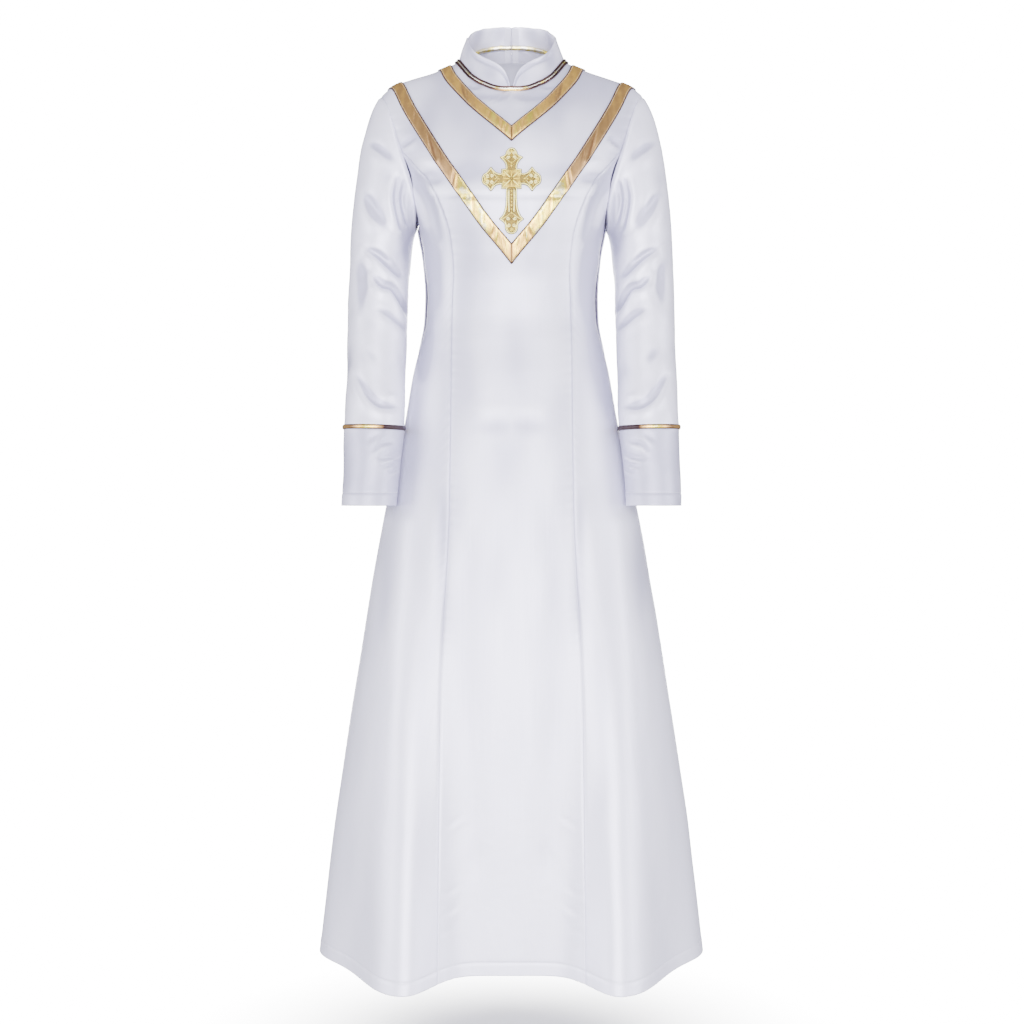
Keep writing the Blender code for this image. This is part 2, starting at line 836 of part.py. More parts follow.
def build_sleeves():
    arm = facing_out(grid_faces(sleeve_rings(), closed=True), sleeve_axis)
    cuff = facing_out(grid_faces(cuff_rings(), closed=True), sleeve_axis)
    normals = shared_normals(arm + cuff)
    seam = sleeve_ring(CUFF_SEAM_HEIGHT)
    outs = [normals[point_key(point)] for point in seam]
    alongs = [Vector((0, 0, 1))] * len(seam)
    stand_off = PIPING_THICKNESS / 2 + SEAM_GAP
    centres = [point + out * stand_off for point, out in zip(seam, outs)]
    for name, turned in (("right", False), ("left", True)):
        walls = {"sleeve": arm, "cuff": cuff}
        wall_normals = normals
        line = (centres, outs)
        if turned:
            walls = {piece: mirrored(faces) for piece, faces in walls.items()}
            wall_normals = shared_normals(walls["sleeve"] + walls["cuff"])
            line = [[Vector((-p.x, p.y, p.z)) for p in points] for points in line]
        for piece, faces in walls.items():
            cloth_wall(f"{piece}_{name}", faces, wall_normals)
        tube(f"cuff_piping_{name}", line[0], line[1], alongs, PIPING_WIDTH / 2,
             PIPING_THICKNESS / 2, "gold_lame", closed=True)


# Collar and the gold in its seam

def build_collar():
    right = facing_out(grid_faces(collar_rows()), body_axis)
    left = mirrored(right)
    normals = shared_normals(right + left)
    cloth_wall("collar_right", right, normals, COLLAR_WALL)
    cloth_wall("collar_left", left, normals, COLLAR_WALL)
    return normals


def collar_direction(angle):
    return (collar_top(angle) - neck_point(angle)).normalized()


def away_from_neck(vector, angle):
    # The same vector, or its opposite, whichever points out from the neck.
    spot = NECK_STATIONS[angle]
    return vector if vector.dot(Vector((spot.x, spot.y, 0))) > 0 else -vector


def neck_tangent(angle):
    before = max(angle - NECK_STEP, 0)
    after = min(angle + NECK_STEP, 180)
    tangent = NECK_STATIONS[after] - NECK_STATIONS[before]
    if angle in (0, 180):
        tangent = Vector((1, 0, 0))
    return tangent.normalized()


def build_neck_piping(body_normals):
    centres = []
    outs = []
    alongs = []
    for angle in range(0, 181, NECK_STEP):
        tangent = neck_tangent(angle)
        collar_normal = away_from_neck(tangent.cross(collar_direction(angle)).normalized(), angle)
        body_normal = body_normals[point_key(NECK_STATIONS[angle])]
        out = (collar_normal + body_normal).normalized()
        along = tangent.cross(out).normalized()
        if along.z < 0:
            along = -along
        lean = math.acos(min(1.0, out.dot(body_normal)))
        bulge = math.hypot(PIPING_WIDTH / 2 * math.sin(lean), PIPING_THICKNESS / 2 * math.cos(lean))
        stand_off = (bulge + PIPING_CLEARANCE) / math.cos(lean)
        centres.append(NECK_STATIONS[angle] + out * stand_off)
        outs.append(out)
        alongs.append(along)

    def whole(points):
        flipped = [Vector((-p.x, p.y, p.z)) for p in points[:0:-1]]
        return flipped + points

    centres = whole(centres)
    centres[0].x = -SEAM_GAP / 2
    centres[-1].x = SEAM_GAP / 2
    tube("neck_piping", centres, whole(outs), whole(alongs), PIPING_WIDTH / 2,
         PIPING_THICKNESS / 2, "gold_lame")


def build_neck_binding():
    # Inside the back of the neck the same gold shows on the seam, over the ends of the zip tapes.
    half_width = PIPING_WIDTH / 2 * BINDING_SHARE
    half_thickness = PIPING_THICKNESS / 2 * BINDING_SHARE
    depth = COLLAR_WALL + TAPE_THICKNESS + 3 * SEAM_GAP + half_thickness
    centres = []
    outs = []
    alongs = []
    for angle in range(BINDING_START_ANGLE, 181, NECK_STEP):
        upward = collar_direction(angle)
        inward = -away_from_neck(upward.cross(neck_tangent(angle)).normalized(), angle)
        centres.append(NECK_STATIONS[angle] + inward * depth + upward * half_width)
        outs.append(inward)
        alongs.append(upward)
    centres[-1].x = SEAM_GAP / 2
    tube("neck_binding_right", centres, outs, alongs, half_width, half_thickness, "gold_lame")
    lines = [[Vector((-p.x, p.y, p.z)) for p in points] for points in (centres, outs, alongs)]
    tube("neck_binding_left", *lines, half_width, half_thickness, "gold_lame")


# Gold bands and cross

def band_path(points):
    # The band's middle line by step, and the steps at which it is cut across.
    rows = []
    places = [0.0]
    for step, point in enumerate(points):
        on_seam = point.height is ON_SHOULDER_SEAM
        rise = SHOULDER_SEAM_RISE if on_seam else rise_at(point.across, point.height, FRONT)
        rows.append((step, point.across, rise))
        places += [step + i / point.steps_to_next for i in range(1, point.steps_to_next + 1)]
    return Profile(("step", "across", "rise"), rows), places


def band_faces(points, out_distance):
    path, places = band_path(points)
    lines = []
    for place in places:
        x, rise = path.at("across", place), path.at("rise", place)
        point, normal, across, upward = surface_frame(x, rise, FRONT)
        ends = (place - BAND_LOOK_ALONG, place + BAND_LOOK_ALONG)
        behind, ahead = (risen_point(path.at("across", end), path.at("rise", end), FRONT) for end in ends)
        tangent = (ahead - behind).normalized()
        sideways = normal.cross(tangent)
        matrix = np.array([across, upward]).T
        shift = np.linalg.lstsq(matrix, np.array(sideways), rcond=None)[0]
        line = []
        for offset in (-BAND_WIDTH / 2, 0.0, BAND_WIDTH / 2):
            new_x = x + shift[0] * offset
            new_rise = rise + shift[1] * offset
            if place == places[0]:
                new_rise = rise
            if place == places[-1]:
                new_x = SEAM_GAP / 2
                new_rise = rise + mitre_rate(tangent, upward) * offset
            spot, spot_normal, _, _ = surface_frame(new_x, new_rise, FRONT)
            line.append(spot + spot_normal * out_distance)
        lines.append(line)
    return grid_faces(lines)


def mitre_rate(tangent, upward):
    # Rise for each metre of band width, along the centre line where the two halves meet.
    lean = abs(tangent.x) / math.hypot(tangent.x, tangent.z)
    return -1 / (lean * abs(upward.z))


def build_bands():
    for name, points in BANDS.items():
        low = band_faces(points, BAND_CLEARANCE)
        high = band_faces(points, BAND_CLEARANCE + BAND_THICKNESS)
        slab(f"{name}_right", low, high, "gold_lame")
        slab(f"{name}_left", mirrored(low), mirrored(high), "gold_lame")


def arm_outline(length):
    # Places along an arm and its half width at each.
    ends = [(length - point.from_end, point.half_width) for point in ARM_END]
    steps = max(1, round((ends[0][0] - CROSS_HUB) / CROSS_SHAFT_STEP))
    shaft = [(place, CROSS_SHAFT) for place in spread(CROSS_HUB, ends[0][0], steps)]
    return shaft[:-1] + ends


def hub_grid():
    # The arms' columns run on through the hub, with one more at each of its own sides.
    lines = [(-CROSS_HUB, CROSS_RELIEF[0].thickness)]
    lines += [(line.part * CROSS_SHAFT, line.thickness) for line in CROSS_RELIEF]
    lines += [(CROSS_HUB, CROSS_RELIEF[-1].thickness)]
    grid = []
    for up, level_thickness in lines:
        row = []
        for x, upright_thickness in lines:
            thickness = level_thickness if abs(x) > abs(up) else upright_thickness
            row.append((x, up, thickness))
        grid.append(row)
    return grid


def cross_grids():
    turns = {"top": (0, 1), "bottom": (0, -1), "left": (-1, 0), "right": (1, 0)}
    grids = [hub_grid()]
    for arm, length in CROSS_ARMS.items():
        along_x, along_y = turns[arm]
        grid = []
        for place, half_width in arm_outline(length):
            row = []
            for line in CROSS_RELIEF:
                across = line.part * half_width
                x = along_x * place + along_y * across
                row.append((x, along_y * place - along_x * across, line.thickness))
            grid.append(row)
        grids.append(grid)
    return grids


def build_cross():
    low_faces = []
    high_faces = []
    for grid in cross_grids():
        low_rows = []
        high_rows = []
        for row in grid:
            spots = []
            for x, up, thickness in row:
                rise = rise_at(x, CROSS_HEIGHT + up, FRONT)
                point, normal, _, _ = surface_frame(x, rise, FRONT)
                spots.append((point + normal * BAND_CLEARANCE,
                              point + normal * (BAND_CLEARANCE + thickness)))
            low_rows.append([low for low, _ in spots])
            high_rows.append([high for _, high in spots])
        low = grid_faces(low_rows)
        high = grid_faces(high_rows)
        if face_normal(low[0]).y > 0:
            low = [face[::-1] for face in low]
            high = [face[::-1] for face in high]
        low_faces += low
        high_faces += high
    slab("cross_applique", low_faces, high_faces, "gold_embroidery")


# Zip

def tape_faces(body_normals, collar_normals):
    # The right tape's outer and inner faces: inside the back, then up inside the collar.
    neck = neck_point(180).z
    low_end = neck + COLLAR_HEIGHT - ZIP_LENGTH
    lines = []
    for row in centre_rows(BACK):
        if row[0].x == 0 and low_end <= row[0].z <= neck - TAPE_NECK_CLEARANCE:
            lines.append((row[0], row[1], body_normals, WALL))
    for row in collar_rows():
        lines.append((row[-1], row[-2], collar_normals, COLLAR_WALL))
    faces = []
    for thickness in (0.0, TAPE_THICKNESS):
        rows = []
        for first, second, normals, wall in lines:
            part = TAPE_WIDTH / (second - first).length
            start = first.lerp(second, SEAM_GAP / 2 / (second - first).length)
            stop = first.lerp(second, part)
            depth = wall + SEAM_GAP + thickness
            near = normals[point_key(first)]
            far = near.lerp(normals[point_key(second)], part).normalized()
            rows.append([start - near * depth, stop - far * depth])
        faces.append(grid_faces(rows))
    return faces


def build_tapes(body_normals, collar_normals):
    outer, inner = tape_faces(body_normals, collar_normals)
    slab("zip_tape_right", outer, inner, "zip_tape")
    slab("zip_tape_left", mirrored(outer), mirrored(inner), "zip_tape")


def box(name, low, high):
    bm = bmesh.new()
    bmesh.ops.create_cube(bm, size=1)
    size = Vector(high) - Vector(low)
    bmesh.ops.scale(bm, vec=size, verts=bm.verts)
    bmesh.ops.translate(bm, vec=Vector(low) + size / 2, verts=bm.verts)
    return mesh_from(bm, name)


def boolean(thing, cutter, operation):
    cutter.hide_render = True
    cutter.display_type = "WIRE"
    change = thing.modifiers.new(operation.lower(), "BOOLEAN")
    change.operation = operation
    change.solver = "EXACT"
    change.object = cutter
    cutter.parent = thing


def collar_frame():
    # On the outside of the collar at the centre back, x across, y up the collar, z outwards.
    upward = collar_direction(180)
    out = Vector((1, 0, 0)).cross(upward)
    if out.y < 0:
        out = -out
    across = upward.cross(out)
    top = neck_point(180) + upward * (COLLAR_HEIGHT + SEAM_GAP - SLIDER_DROP)
    rotation = Matrix((across, upward, out)).transposed().to_4x4()
    return Matrix.Translation(top + out * SEAM_GAP) @ rotation


def form(name, low, high):
    # A box that is only joined to another piece or cut out of it.
    thing = bpy.data.objects.new(name, box(name, low, high))
    bpy.context.scene.collection.objects.link(thing)
    return thing


def build_slider(frame):
    width, length, thickness = SLIDER_SIZE
    body = box("zip_slider", (-width / 2, -length / 2, 0), (width / 2, length / 2, thickness))
    slider = new_object("zip_slider", body, "zip_metal")
    bridge = form("bridge_form", (-BRIDGE_WIDTH / 2, BRIDGE_LOW - BRIDGE_FOOT, thickness / 2),
                  (BRIDGE_WIDTH / 2, BRIDGE_HIGH + BRIDGE_FOOT, thickness + BRIDGE_RISE))
    window = form("bridge_window", (-BRIDGE_WIDTH, BRIDGE_LOW, thickness),
                  (BRIDGE_WIDTH, BRIDGE_HIGH, thickness + BRIDGE_CLEAR))
    boolean(slider, bridge, "UNION")
    boolean(slider, window, "DIFFERENCE")
    slider.matrix_world = frame


def pull_outline():
    # From the root down one side, round the end and up the other side.
    end_centre = PULL_END_RADIUS - PULL_LENGTH
    right = [(PULL_ROOT_HALF_WIDTH, PULL_THICKNESS / 2), (PULL_NECK_HALF_WIDTH, -PULL_NECK_DROP)]
    end = [(PULL_END_RADIUS * math.cos(turn), end_centre + PULL_END_RADIUS * math.sin(turn))
           for turn in spread(0, -math.pi, PULL_END_STEPS)]
    return right + end + [(-x, y) for x, y in reversed(right)]


def build_pull(frame):
    # The tab's eye goes round the slider's bridge, so it swings about the eye's upper bar.
    bm = bmesh.new()
    half = PULL_THICKNESS / 2
    face = bm.faces.new([bm.verts.new((x, y, -half)) for x, y in pull_outline()])
    grown = bmesh.ops.extrude_face_region(bm, geom=[face])
    raised = [item for item in grown["geom"] if isinstance(item, bmesh.types.BMVert)]
    bmesh.ops.translate(bm, vec=(0, 0, PULL_THICKNESS), verts=raised)
    bmesh.ops.recalc_face_normals(bm, faces=bm.faces)
    pull = new_object("zip_pull", mesh_from(bm, "zip_pull"), "zip_metal")
    eye = form("eye_form", (-EYE_WIDTH / 2, -half - EYE_LENGTH, -PULL_THICKNESS),
               (EYE_WIDTH / 2, -half, PULL_THICKNESS))
    boolean(pull, eye, "DIFFERENCE")
    pull.matrix_world = frame @ Matrix.Translation((0, 0, SLIDER_SIZE[2] + HINGE_RISE))


for old in list(bpy.data.objects):
    bpy.data.objects.remove(old)

holder = bpy.data.objects.new("wearer_shoulders", None)
bpy.context.scene.collection.objects.link(holder)

bodyNormals = build_body()
build_sleeves()
collarNormals = build_collar()
build_neck_piping(bodyNormals)
build_neck_binding()
build_bands()
build_cross()
build_tapes(bodyNormals, collarNormals)
zipFrame = collar_frame()
build_slider(zipFrame)
build_pull(zipFrame)
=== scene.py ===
# White satin cassock with gold trim: cloth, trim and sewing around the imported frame.
import math
import random
from collections import namedtuple

import bmesh
import bpy
import numpy as np
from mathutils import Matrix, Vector


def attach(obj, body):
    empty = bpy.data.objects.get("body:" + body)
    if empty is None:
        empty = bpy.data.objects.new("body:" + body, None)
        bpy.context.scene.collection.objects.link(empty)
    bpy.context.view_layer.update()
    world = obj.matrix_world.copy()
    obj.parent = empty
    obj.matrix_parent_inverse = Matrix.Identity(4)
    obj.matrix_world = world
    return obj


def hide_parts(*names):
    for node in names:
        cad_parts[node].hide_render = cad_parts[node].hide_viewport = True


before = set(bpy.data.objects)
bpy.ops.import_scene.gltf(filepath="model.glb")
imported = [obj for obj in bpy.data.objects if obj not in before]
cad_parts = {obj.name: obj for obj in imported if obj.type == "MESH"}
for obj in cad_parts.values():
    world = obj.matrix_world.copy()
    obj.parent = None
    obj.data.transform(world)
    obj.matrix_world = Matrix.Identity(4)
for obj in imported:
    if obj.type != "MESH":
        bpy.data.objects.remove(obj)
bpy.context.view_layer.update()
front, back = -1, 1  # the sides of the garment, as signs of Y
sideColumn = {front: 0, back: 1}  # where a table has a column for each side
halves = ((1, "right"), (-1, "left"))  # the halves, with their signs of X


# Camera, level with the middle of the garment

view = {"place": (0.0007, -2.6, -0.669), "height": 1.536}

eye = bpy.data.cameras.new("eye")
eye.sensor_width = 36
eye.lens = 36 * -view["place"][1] / view["height"]
eyeHolder = bpy.data.objects.new("eye", eye)
eyeHolder.location = view["place"]
eyeHolder.rotation_euler = (math.pi / 2, 0, 0)
bpy.context.scene.collection.objects.link(eyeHolder)
bpy.context.scene.camera = eyeHolder


# The garment's form, as the solids have it

class Rows:
    # Smooth values between the rows of a short table. The first column is the key.
    def __init__(self, *rows):
        rows = np.array(sorted(rows), float)
        self.keys, self.values = rows[:, 0], rows[:, 1:]
        steps = np.diff(self.keys)[:, None]
        rates = np.diff(self.values, axis=0) / steps
        before, after = rates[:-1], rates[1:]
        first = 2 * steps[1:] + steps[:-1]
        second = steps[1:] + 2 * steps[:-1]
        same = before * after > 0
        blend = first / np.where(same, before, 1) + second / np.where(same, after, 1)
        inner = np.where(same, (first + second) / blend, 0)
        self.slopes = np.concatenate([rates[:1], inner, rates[-1:]])

    def at(self, key, column=0):
        key = np.clip(key, self.keys[0], self.keys[-1])
        i = np.clip(np.searchsorted(self.keys, key, side="right") - 1, 0, len(self.keys) - 2)
        step = self.keys[i + 1] - self.keys[i]
        t = (key - self.keys[i]) / step
        values, slopes = self.values[:, column], self.slopes[:, column]
        start = (1 + 2 * t) * (1 - t) ** 2 * values[i] + t * (1 - t) ** 2 * step * slopes[i]
        return start + t * t * (3 - 2 * t) * values[i + 1] - t * t * (1 - t) * step * slopes[i + 1]


sections = Rows(  # height, half width, depth in front and behind, squareness
    (-1.340, 0.2885, 0.149, 0.158, 2.30), (-1.146, 0.266, 0.143, 0.154, 2.30),
    (-0.966, 0.239, 0.138, 0.149, 2.30), (-0.808, 0.214, 0.130, 0.143, 2.35),
    (-0.673, 0.190, 0.122, 0.136, 2.40), (-0.546, 0.161, 0.113, 0.126, 2.40),
    (-0.471, 0.148, 0.105, 0.116, 2.40), (-0.426, 0.139, 0.098, 0.106, 2.35),
    (-0.381, 0.131, 0.093, 0.094, 2.30), (-0.345, 0.1298, 0.094, 0.090, 2.30),
    (-0.290, 0.134, 0.107, 0.094, 2.35), (-0.246, 0.142, 0.119, 0.101, 2.40),
    (-0.223, 0.1445, 0.122, 0.104, 2.40), (-0.193, 0.153, 0.121, 0.107, 2.40),
    (-0.160, 0.167, 0.117, 0.109, 2.40), (-0.126, 0.184, 0.108, 0.109, 2.40),
    (-0.081, 0.204, 0.092, 0.106, 2.40), (-0.050, 0.214, 0.078, 0.101, 2.40),
    (0.000, 0.225, 0.062, 0.097, 2.40), (0.045, 0.230, 0.050, 0.093, 2.40))
crest = Rows(  # distance across, height of the crest in front and behind
    (0.000, 0.045, 0.080), (0.032, 0.026, 0.070), (0.062, 0.012, 0.036), (0.081, 0.003, 0.003),
    (0.101, -0.006, -0.006), (0.125, -0.015, -0.015), (0.150, -0.023, -0.023),
    (0.173, -0.031, -0.031), (0.185, -0.038, -0.038), (0.196, -0.048, -0.048),
    (0.210, -0.068, -0.068))
armRings = Rows(  # height, middle across and in depth, half width, half depth
    (-0.660, 0.2063, -0.088, 0.0390, 0.0405), (-0.600, 0.2035, -0.077, 0.0415, 0.0420),
    (-0.546, 0.2010, -0.066, 0.0436, 0.0440), (-0.516, 0.2005, -0.057, 0.0438, 0.0450),
    (-0.426, 0.1993, -0.030, 0.0440, 0.0480), (-0.336, 0.1980, -0.010, 0.0447, 0.0515),
    (-0.300, 0.1965, -0.002, 0.0457, 0.0530))
collarEdge = Rows(  # angle round the neck, height of the collar there
    (2, 0.0045), (3, 0.0097), (5, 0.0195), (7, 0.0252), (10, 0.0301), (14, 0.0340), (17, 0.0357),
    (22, 0.0374), (28, 0.0374), (35, 0.0373), (42, 0.0362), (50, 0.0348), (58, 0.0336), (66, 0.0345),
    (75, 0.0372), (85, 0.0386), (95, 0.0402), (102, 0.0426), (110, 0.0442), (120, 0.0415), (130, 0.0392),
    (140, 0.0370), (150, 0.0354), (160, 0.0348), (170, 0.0342), (180, 0.0342))
neckLine = Rows(  # angle round the neck, how far the seam's height departs from the plain oval's
    (0, 0.0), (28, 0.0), (35, -0.0018), (42, -0.0032), (50, -0.0050), (58, -0.0050), (66, -0.0045),
    (75, -0.0032), (85, -0.0010), (90, 0.0), (120, 0.0), (130, -0.0010), (140, -0.0010), (150, -0.0014),
    (160, 0.0012), (170, 0.0040), (180, 0.0036))
body = {
    "hem": -1.321, "underarm": -0.246, "rounding": -0.200, "power": 0.36,
    "folds": {front: ((0.166, 0.060, 0.076, -0.54),),
              back: ((0.150, 0.058, 0.060, -0.58), (0.052, 0.030, 0.012, -0.70))},
    "foldGrowth": 1.4, "foldSquareness": 2.4,
    "dropStart": -1.05, "centreDrop": 0.004, "lobeDrop": 0.019, "lobeSpread": 1.1,
    "armhole": (-0.147, 0.099), "armholeReach": {front: 0.054, back: 0.058}, "princessAngle": 84,
    "neckHalf": 0.080, "neckReach": {front: 0.066, back: 0.060},
    "collarTop": {"half": 0.0675, "front": 0.063, "back": 0.047}, "collar": 0.037,
    "cuffSeam": -0.546, "upperArm": -0.300,
}
riseRate = math.sqrt(0.5 / body["power"])
quarter = math.pi / 2


def crestSpan(x, side):
    return crest.at(np.abs(x), sideColumn[side]) - body["rounding"]


def heightAt(x, rise, side):
    turn = np.clip(rise, 0, quarter)
    part = np.sqrt(np.clip(1 - np.clip(np.cos(turn), 0, 1) ** (1 / body["power"]), 0, 1))
    return body["rounding"] + crestSpan(x, side) * np.where(rise > 0, part, riseRate * rise)


def riseAt(x, z, side):
    part = (z - body["rounding"]) / crestSpan(x, side)
    rounded = np.arccos((1 - np.clip(part, 0, 1) ** 2) ** body["power"])
    return np.where(part > 0, rounded, part / riseRate)


def sectionAngle(x, z):
    part = np.clip(np.abs(x) / sections.at(z), 0, 1)
    return np.arcsin(part ** (sections.at(z, 3) / 2))


def acrossAt(angle, z):
    return sections.at(z) * np.sin(angle) ** (2 / sections.at(z, 3))


def foldShape(part):
    return np.exp(-np.abs(part) ** body["foldSquareness"])


def levelDepth(x, z, side):
    # How far the section at this height reaches, before the shoulder rounds it.
    facing = np.clip(np.cos(sectionAngle(x, z)), 0, 1)
    depth = sections.at(z, 1 + sideColumn[side]) * facing ** (2 / sections.at(z, 3))
    for across, spread, deep, top in body["folds"][side]:
        growth = (np.clip(top - z, 0, None) / (top - body["hem"])) ** body["foldGrowth"]
        depth = depth + deep * growth * foldShape((np.abs(x) - across) / spread) * facing
    return depth


def bodyDepth(x, z, side):
    part = np.clip((z - body["rounding"]) / crestSpan(x, side), 0, 1)
    return levelDepth(x, z, side) * (1 - part ** 2) ** body["power"]


def risenPoint(x, rise, side):
    z = heightAt(x, rise, side)
    depth = levelDepth(x, z, side) * np.where(rise > 0, np.cos(np.clip(rise, 0, quarter)), 1)
    return joined(x, side * depth, z)


def joined(*parts):
    # Coordinates, one for each direction, as points.
    return np.stack(np.broadcast_arrays(*parts), axis=-1)


def unit(vectors):
    length = np.linalg.norm(vectors, axis=-1, keepdims=True)
    return vectors / np.where(length > 1e-12, length, 1)


def surfaceFrame(x, rise, side):
    # Point, outward normal and the two steps across and up the surface.
    step = 0.0005
    turn = np.minimum(rise, quarter - step)
    across = (risenPoint(x + step, turn, side) - risenPoint(x - step, turn, side)) / (2 * step)
    upward = (risenPoint(x, turn + step, side) - risenPoint(x, turn - step, side)) / (2 * step)
    return risenPoint(x, rise, side), unit(np.cross(across, upward)) * -side, across, upward


def smoothStep(value):
    value = np.clip(value, 0, 1)
    return value * value * (3 - 2 * value)


def bump(value, spread):
    return np.exp(-(value / spread) ** 2)


def skirtPoint(x, z, side):
    across, spread = body["folds"][side][0][:2]
    weight = smoothStep((body["dropStart"] - z) / (body["dropStart"] - body["hem"]))
    weight = weight * np.cos(sectionAngle(x, z))
    reach = (np.abs(x) - across) / (spread * body["lobeSpread"])
    z = z - weight * (body["centreDrop"] + body["lobeDrop"] * foldShape(reach))
    return joined(x, side * bodyDepth(x, z, side), z)


def crossing(inside, low, high):
    # The place between low, where inside is true, and high, where it is false.
    for _ in range(42):
        middle = (low + high) / 2
        good = inside(middle)
        low, high = np.where(good, middle, low), np.where(good, high, middle)
    return (low + high) / 2


def armholeSpot(angle, side):
    turn = np.radians(np.asarray(angle, float))
    z = body["armhole"][0] + body["armhole"][1] * np.cos(turn)
    depth = body["armholeReach"][side] * np.sin(turn)

    def inside(x):
        crestHeight = crest.at(x, sideColumn[side])
        return (crestHeight > z) & (bodyDepth(x, z, side) > depth)

    x = crossing(inside, 0.080 + 0 * z, sections.at(z))
    return joined(x, side * depth, z)


def neckSpot(angle):
    # Angle 0 is the centre front, 90 the side of the neck and 180 the centre back.
    angle = np.asarray(angle, float)
    turn = np.radians(angle)
    x = body["neckHalf"] * np.sin(turn)
    spots = []
    for side in (front, back):
        depth = body["neckReach"][side] * np.abs(np.cos(turn))
        top = crest.at(x, sideColumn[side])
        z = crossing(lambda height: bodyDepth(x, height, side) > depth, -0.120 + 0 * x, top)
        z = z + neckLine.at(angle)
        spots.append(joined(x, side * bodyDepth(x, z, side), z))
    return np.where((angle <= 90)[..., None], spots[0], spots[1])


princessTop = {side: armholeSpot(body["princessAngle"], side) for side in (front, back)}
princess = Rows(  # height, distance across in front and behind
    (-1.340, 0.1035, 0.115), (-0.936, 0.1015, 0.106), (-0.652, 0.0895, 0.092),
    (-0.362, 0.0870, 0.082), (-0.3195, 0.0850, 0.080), (-0.278, 0.0885, 0.083),
    (-0.210, 0.1100, 0.104),
    (princessTop[front][2], princessTop[front][0], princessTop[back][0]))


# Creases, seams and the small unevenness of sewn satin

# way: a soft line of points across and up, in metres. roll: how far the cloth beside it stands up again.
Crease = namedtuple("Crease", "way width deep roll")
creaseGain = 1.9  # all creases together, deeper or shallower
merge = {"points": 0.00002, "edges": 0.00001}  # what lies closer than this becomes one


def smoothWay(way, steps=10):
    # A soft line through a few points.
    way = np.array(way, float)
    if len(way) == 2:
        return way[0] + (way[1] - way[0]) * np.linspace(0, 1, steps + 1)[:, None]
    padded = np.concatenate([[2 * way[0] - way[1]], way, [2 * way[-1] - way[-2]]])
    t = np.linspace(0, 1, steps, endpoint=False)[:, None]
    line = []
    for a, b, c, d in zip(padded, padded[1:], padded[2:], padded[3:]):
        line.append(b + (c - a) * t / 2 + (2 * a - 5 * b + 4 * c - d) * t ** 2 / 2
                    + (3 * b - a - 3 * c + d) * t ** 3 / 2)
    return np.concatenate(line + [way[-1:]])


def creaseRows(*rows):
    # Rows in millimetres: a crease's width and height, its roll, then the points of its way.
    return [Crease(smoothWay(np.array(way) / 1000), width / 1000, deep / 1000, roll)
            for width, deep, roll, *way in rows]


def creased(creases, across, up):
    # Height of the cloth over its plain form, in metres, where the creases cross it.
    spots = joined(across, up)
    total = np.zeros(across.shape)
    for line, width, deep, roll in creases:
        starts, steps = line[:-1], np.diff(line, axis=0)
        reach = width * 5
        low, high = line.min(axis=0) - reach, line.max(axis=0) + reach
        near = np.all((spots > low) & (spots < high), axis=-1)
        if not near.any():
            continue
        offset = spots[near][:, None] - starts
        part = np.clip((offset * steps).sum(-1) / (steps ** 2).sum(-1), 0, 1)
        distance = np.linalg.norm(offset - steps * part[..., None], axis=-1)
        nearest = distance.argmin(axis=1)
        row = np.arange(len(nearest))
        step, gap = steps[nearest], offset[row, nearest]
        signed = distance[row, nearest] * np.sign(step[:, 0] * gap[:, 1] - step[:, 1] * gap[:, 0])
        along = (nearest + part[row, nearest]) / len(steps)
        taper = np.clip(np.sin(math.pi * (0.04 + 0.92 * along)), 0, 1) ** 0.7
        spread = width * (0.75 + 0.25 * taper)
        shape = bump(signed, spread) - roll * bump(signed - 1.9 * spread, 1.3 * spread)
        total[near] += deep * taper * shape
    return total * creaseGain


def rumple(points, size, height, seed):
    # Smooth unevenness that runs on across seams: a few slanted waves of about one size.
    draw = random.Random(seed)
    total = np.zeros(points.shape[:-1])
    for _ in range(9):
        lean = np.array([draw.gauss(0, 1), draw.gauss(0, 1), draw.gauss(0, 0.55)])
        lean *= draw.uniform(0.7, 1.4) / np.linalg.norm(lean)
        total += np.sin(points @ lean * (2 * math.pi / size) + draw.uniform(0, 6.3))
    return total * (height / 3)


def rumpled(points, layers):
    return sum(rumple(points, *layer) for layer in layers)


def puckers(along, distance, pitch, height, reach, seed):
    # Short slanted wrinkles beside a seam, uneven along it, none on the stitches themselves.
    draw = random.Random(seed)
    phases = [draw.uniform(0, 6.3) for _ in range(4)]
    slanted = along + 0.5 * distance
    waves = np.sin(slanted * 2 * math.pi / pitch + phases[0] + 1.3 * np.sin(along * 21 + phases[1]))
    waves += 0.6 * np.sin(slanted * 2 * math.pi / (pitch * 0.61) + phases[2])
    swell = 0.55 + 0.45 * np.sin(along * 33 + phases[3])
    return height * waves * swell * np.exp(-distance / reach) * (1 - np.exp(-distance / 0.0015))


def seamDip(distance, deep=0.0009, roll=0.00016):
    # The cloth sinks into a seam and rolls up a little beside it.
    return roll * bump(distance - 0.0045, 0.0025) - deep * bump(distance, 0.0019)


def lengths(points, axis=0):
    # Distance along a way, or along the rows or columns of a grid of points, from its first.
    steps = np.linalg.norm(np.diff(points, axis=axis), axis=-1)
    start = np.zeros_like(np.take(steps, [0], axis=axis))
    return np.concatenate([start, np.cumsum(steps, axis=axis)], axis=axis)


def spotOn(way, run, place):
    # The point of a way at a distance along it.
    return np.stack([np.interp(place, run, column) for column in way.T], axis=-1)


def outward(points, loop=False):
    # Normals of a grid whose columns run to the right and rows up, as seen from outside.
    if loop:
        across = np.roll(points[:, :-1], -1, axis=1) - np.roll(points[:, :-1], 1, axis=1)
        across = np.concatenate([across, across[:, :1]], axis=1)
    else:
        across = np.gradient(points, axis=1)
    normals = unit(np.cross(across, np.gradient(points, axis=0)))
    for row in range(1, len(normals)):  # a row that shrinks to a point takes its neighbour's
        lost = np.linalg.norm(normals[row], axis=-1) < 0.5
        normals[row][lost] = normals[row - 1][lost]
    return normals


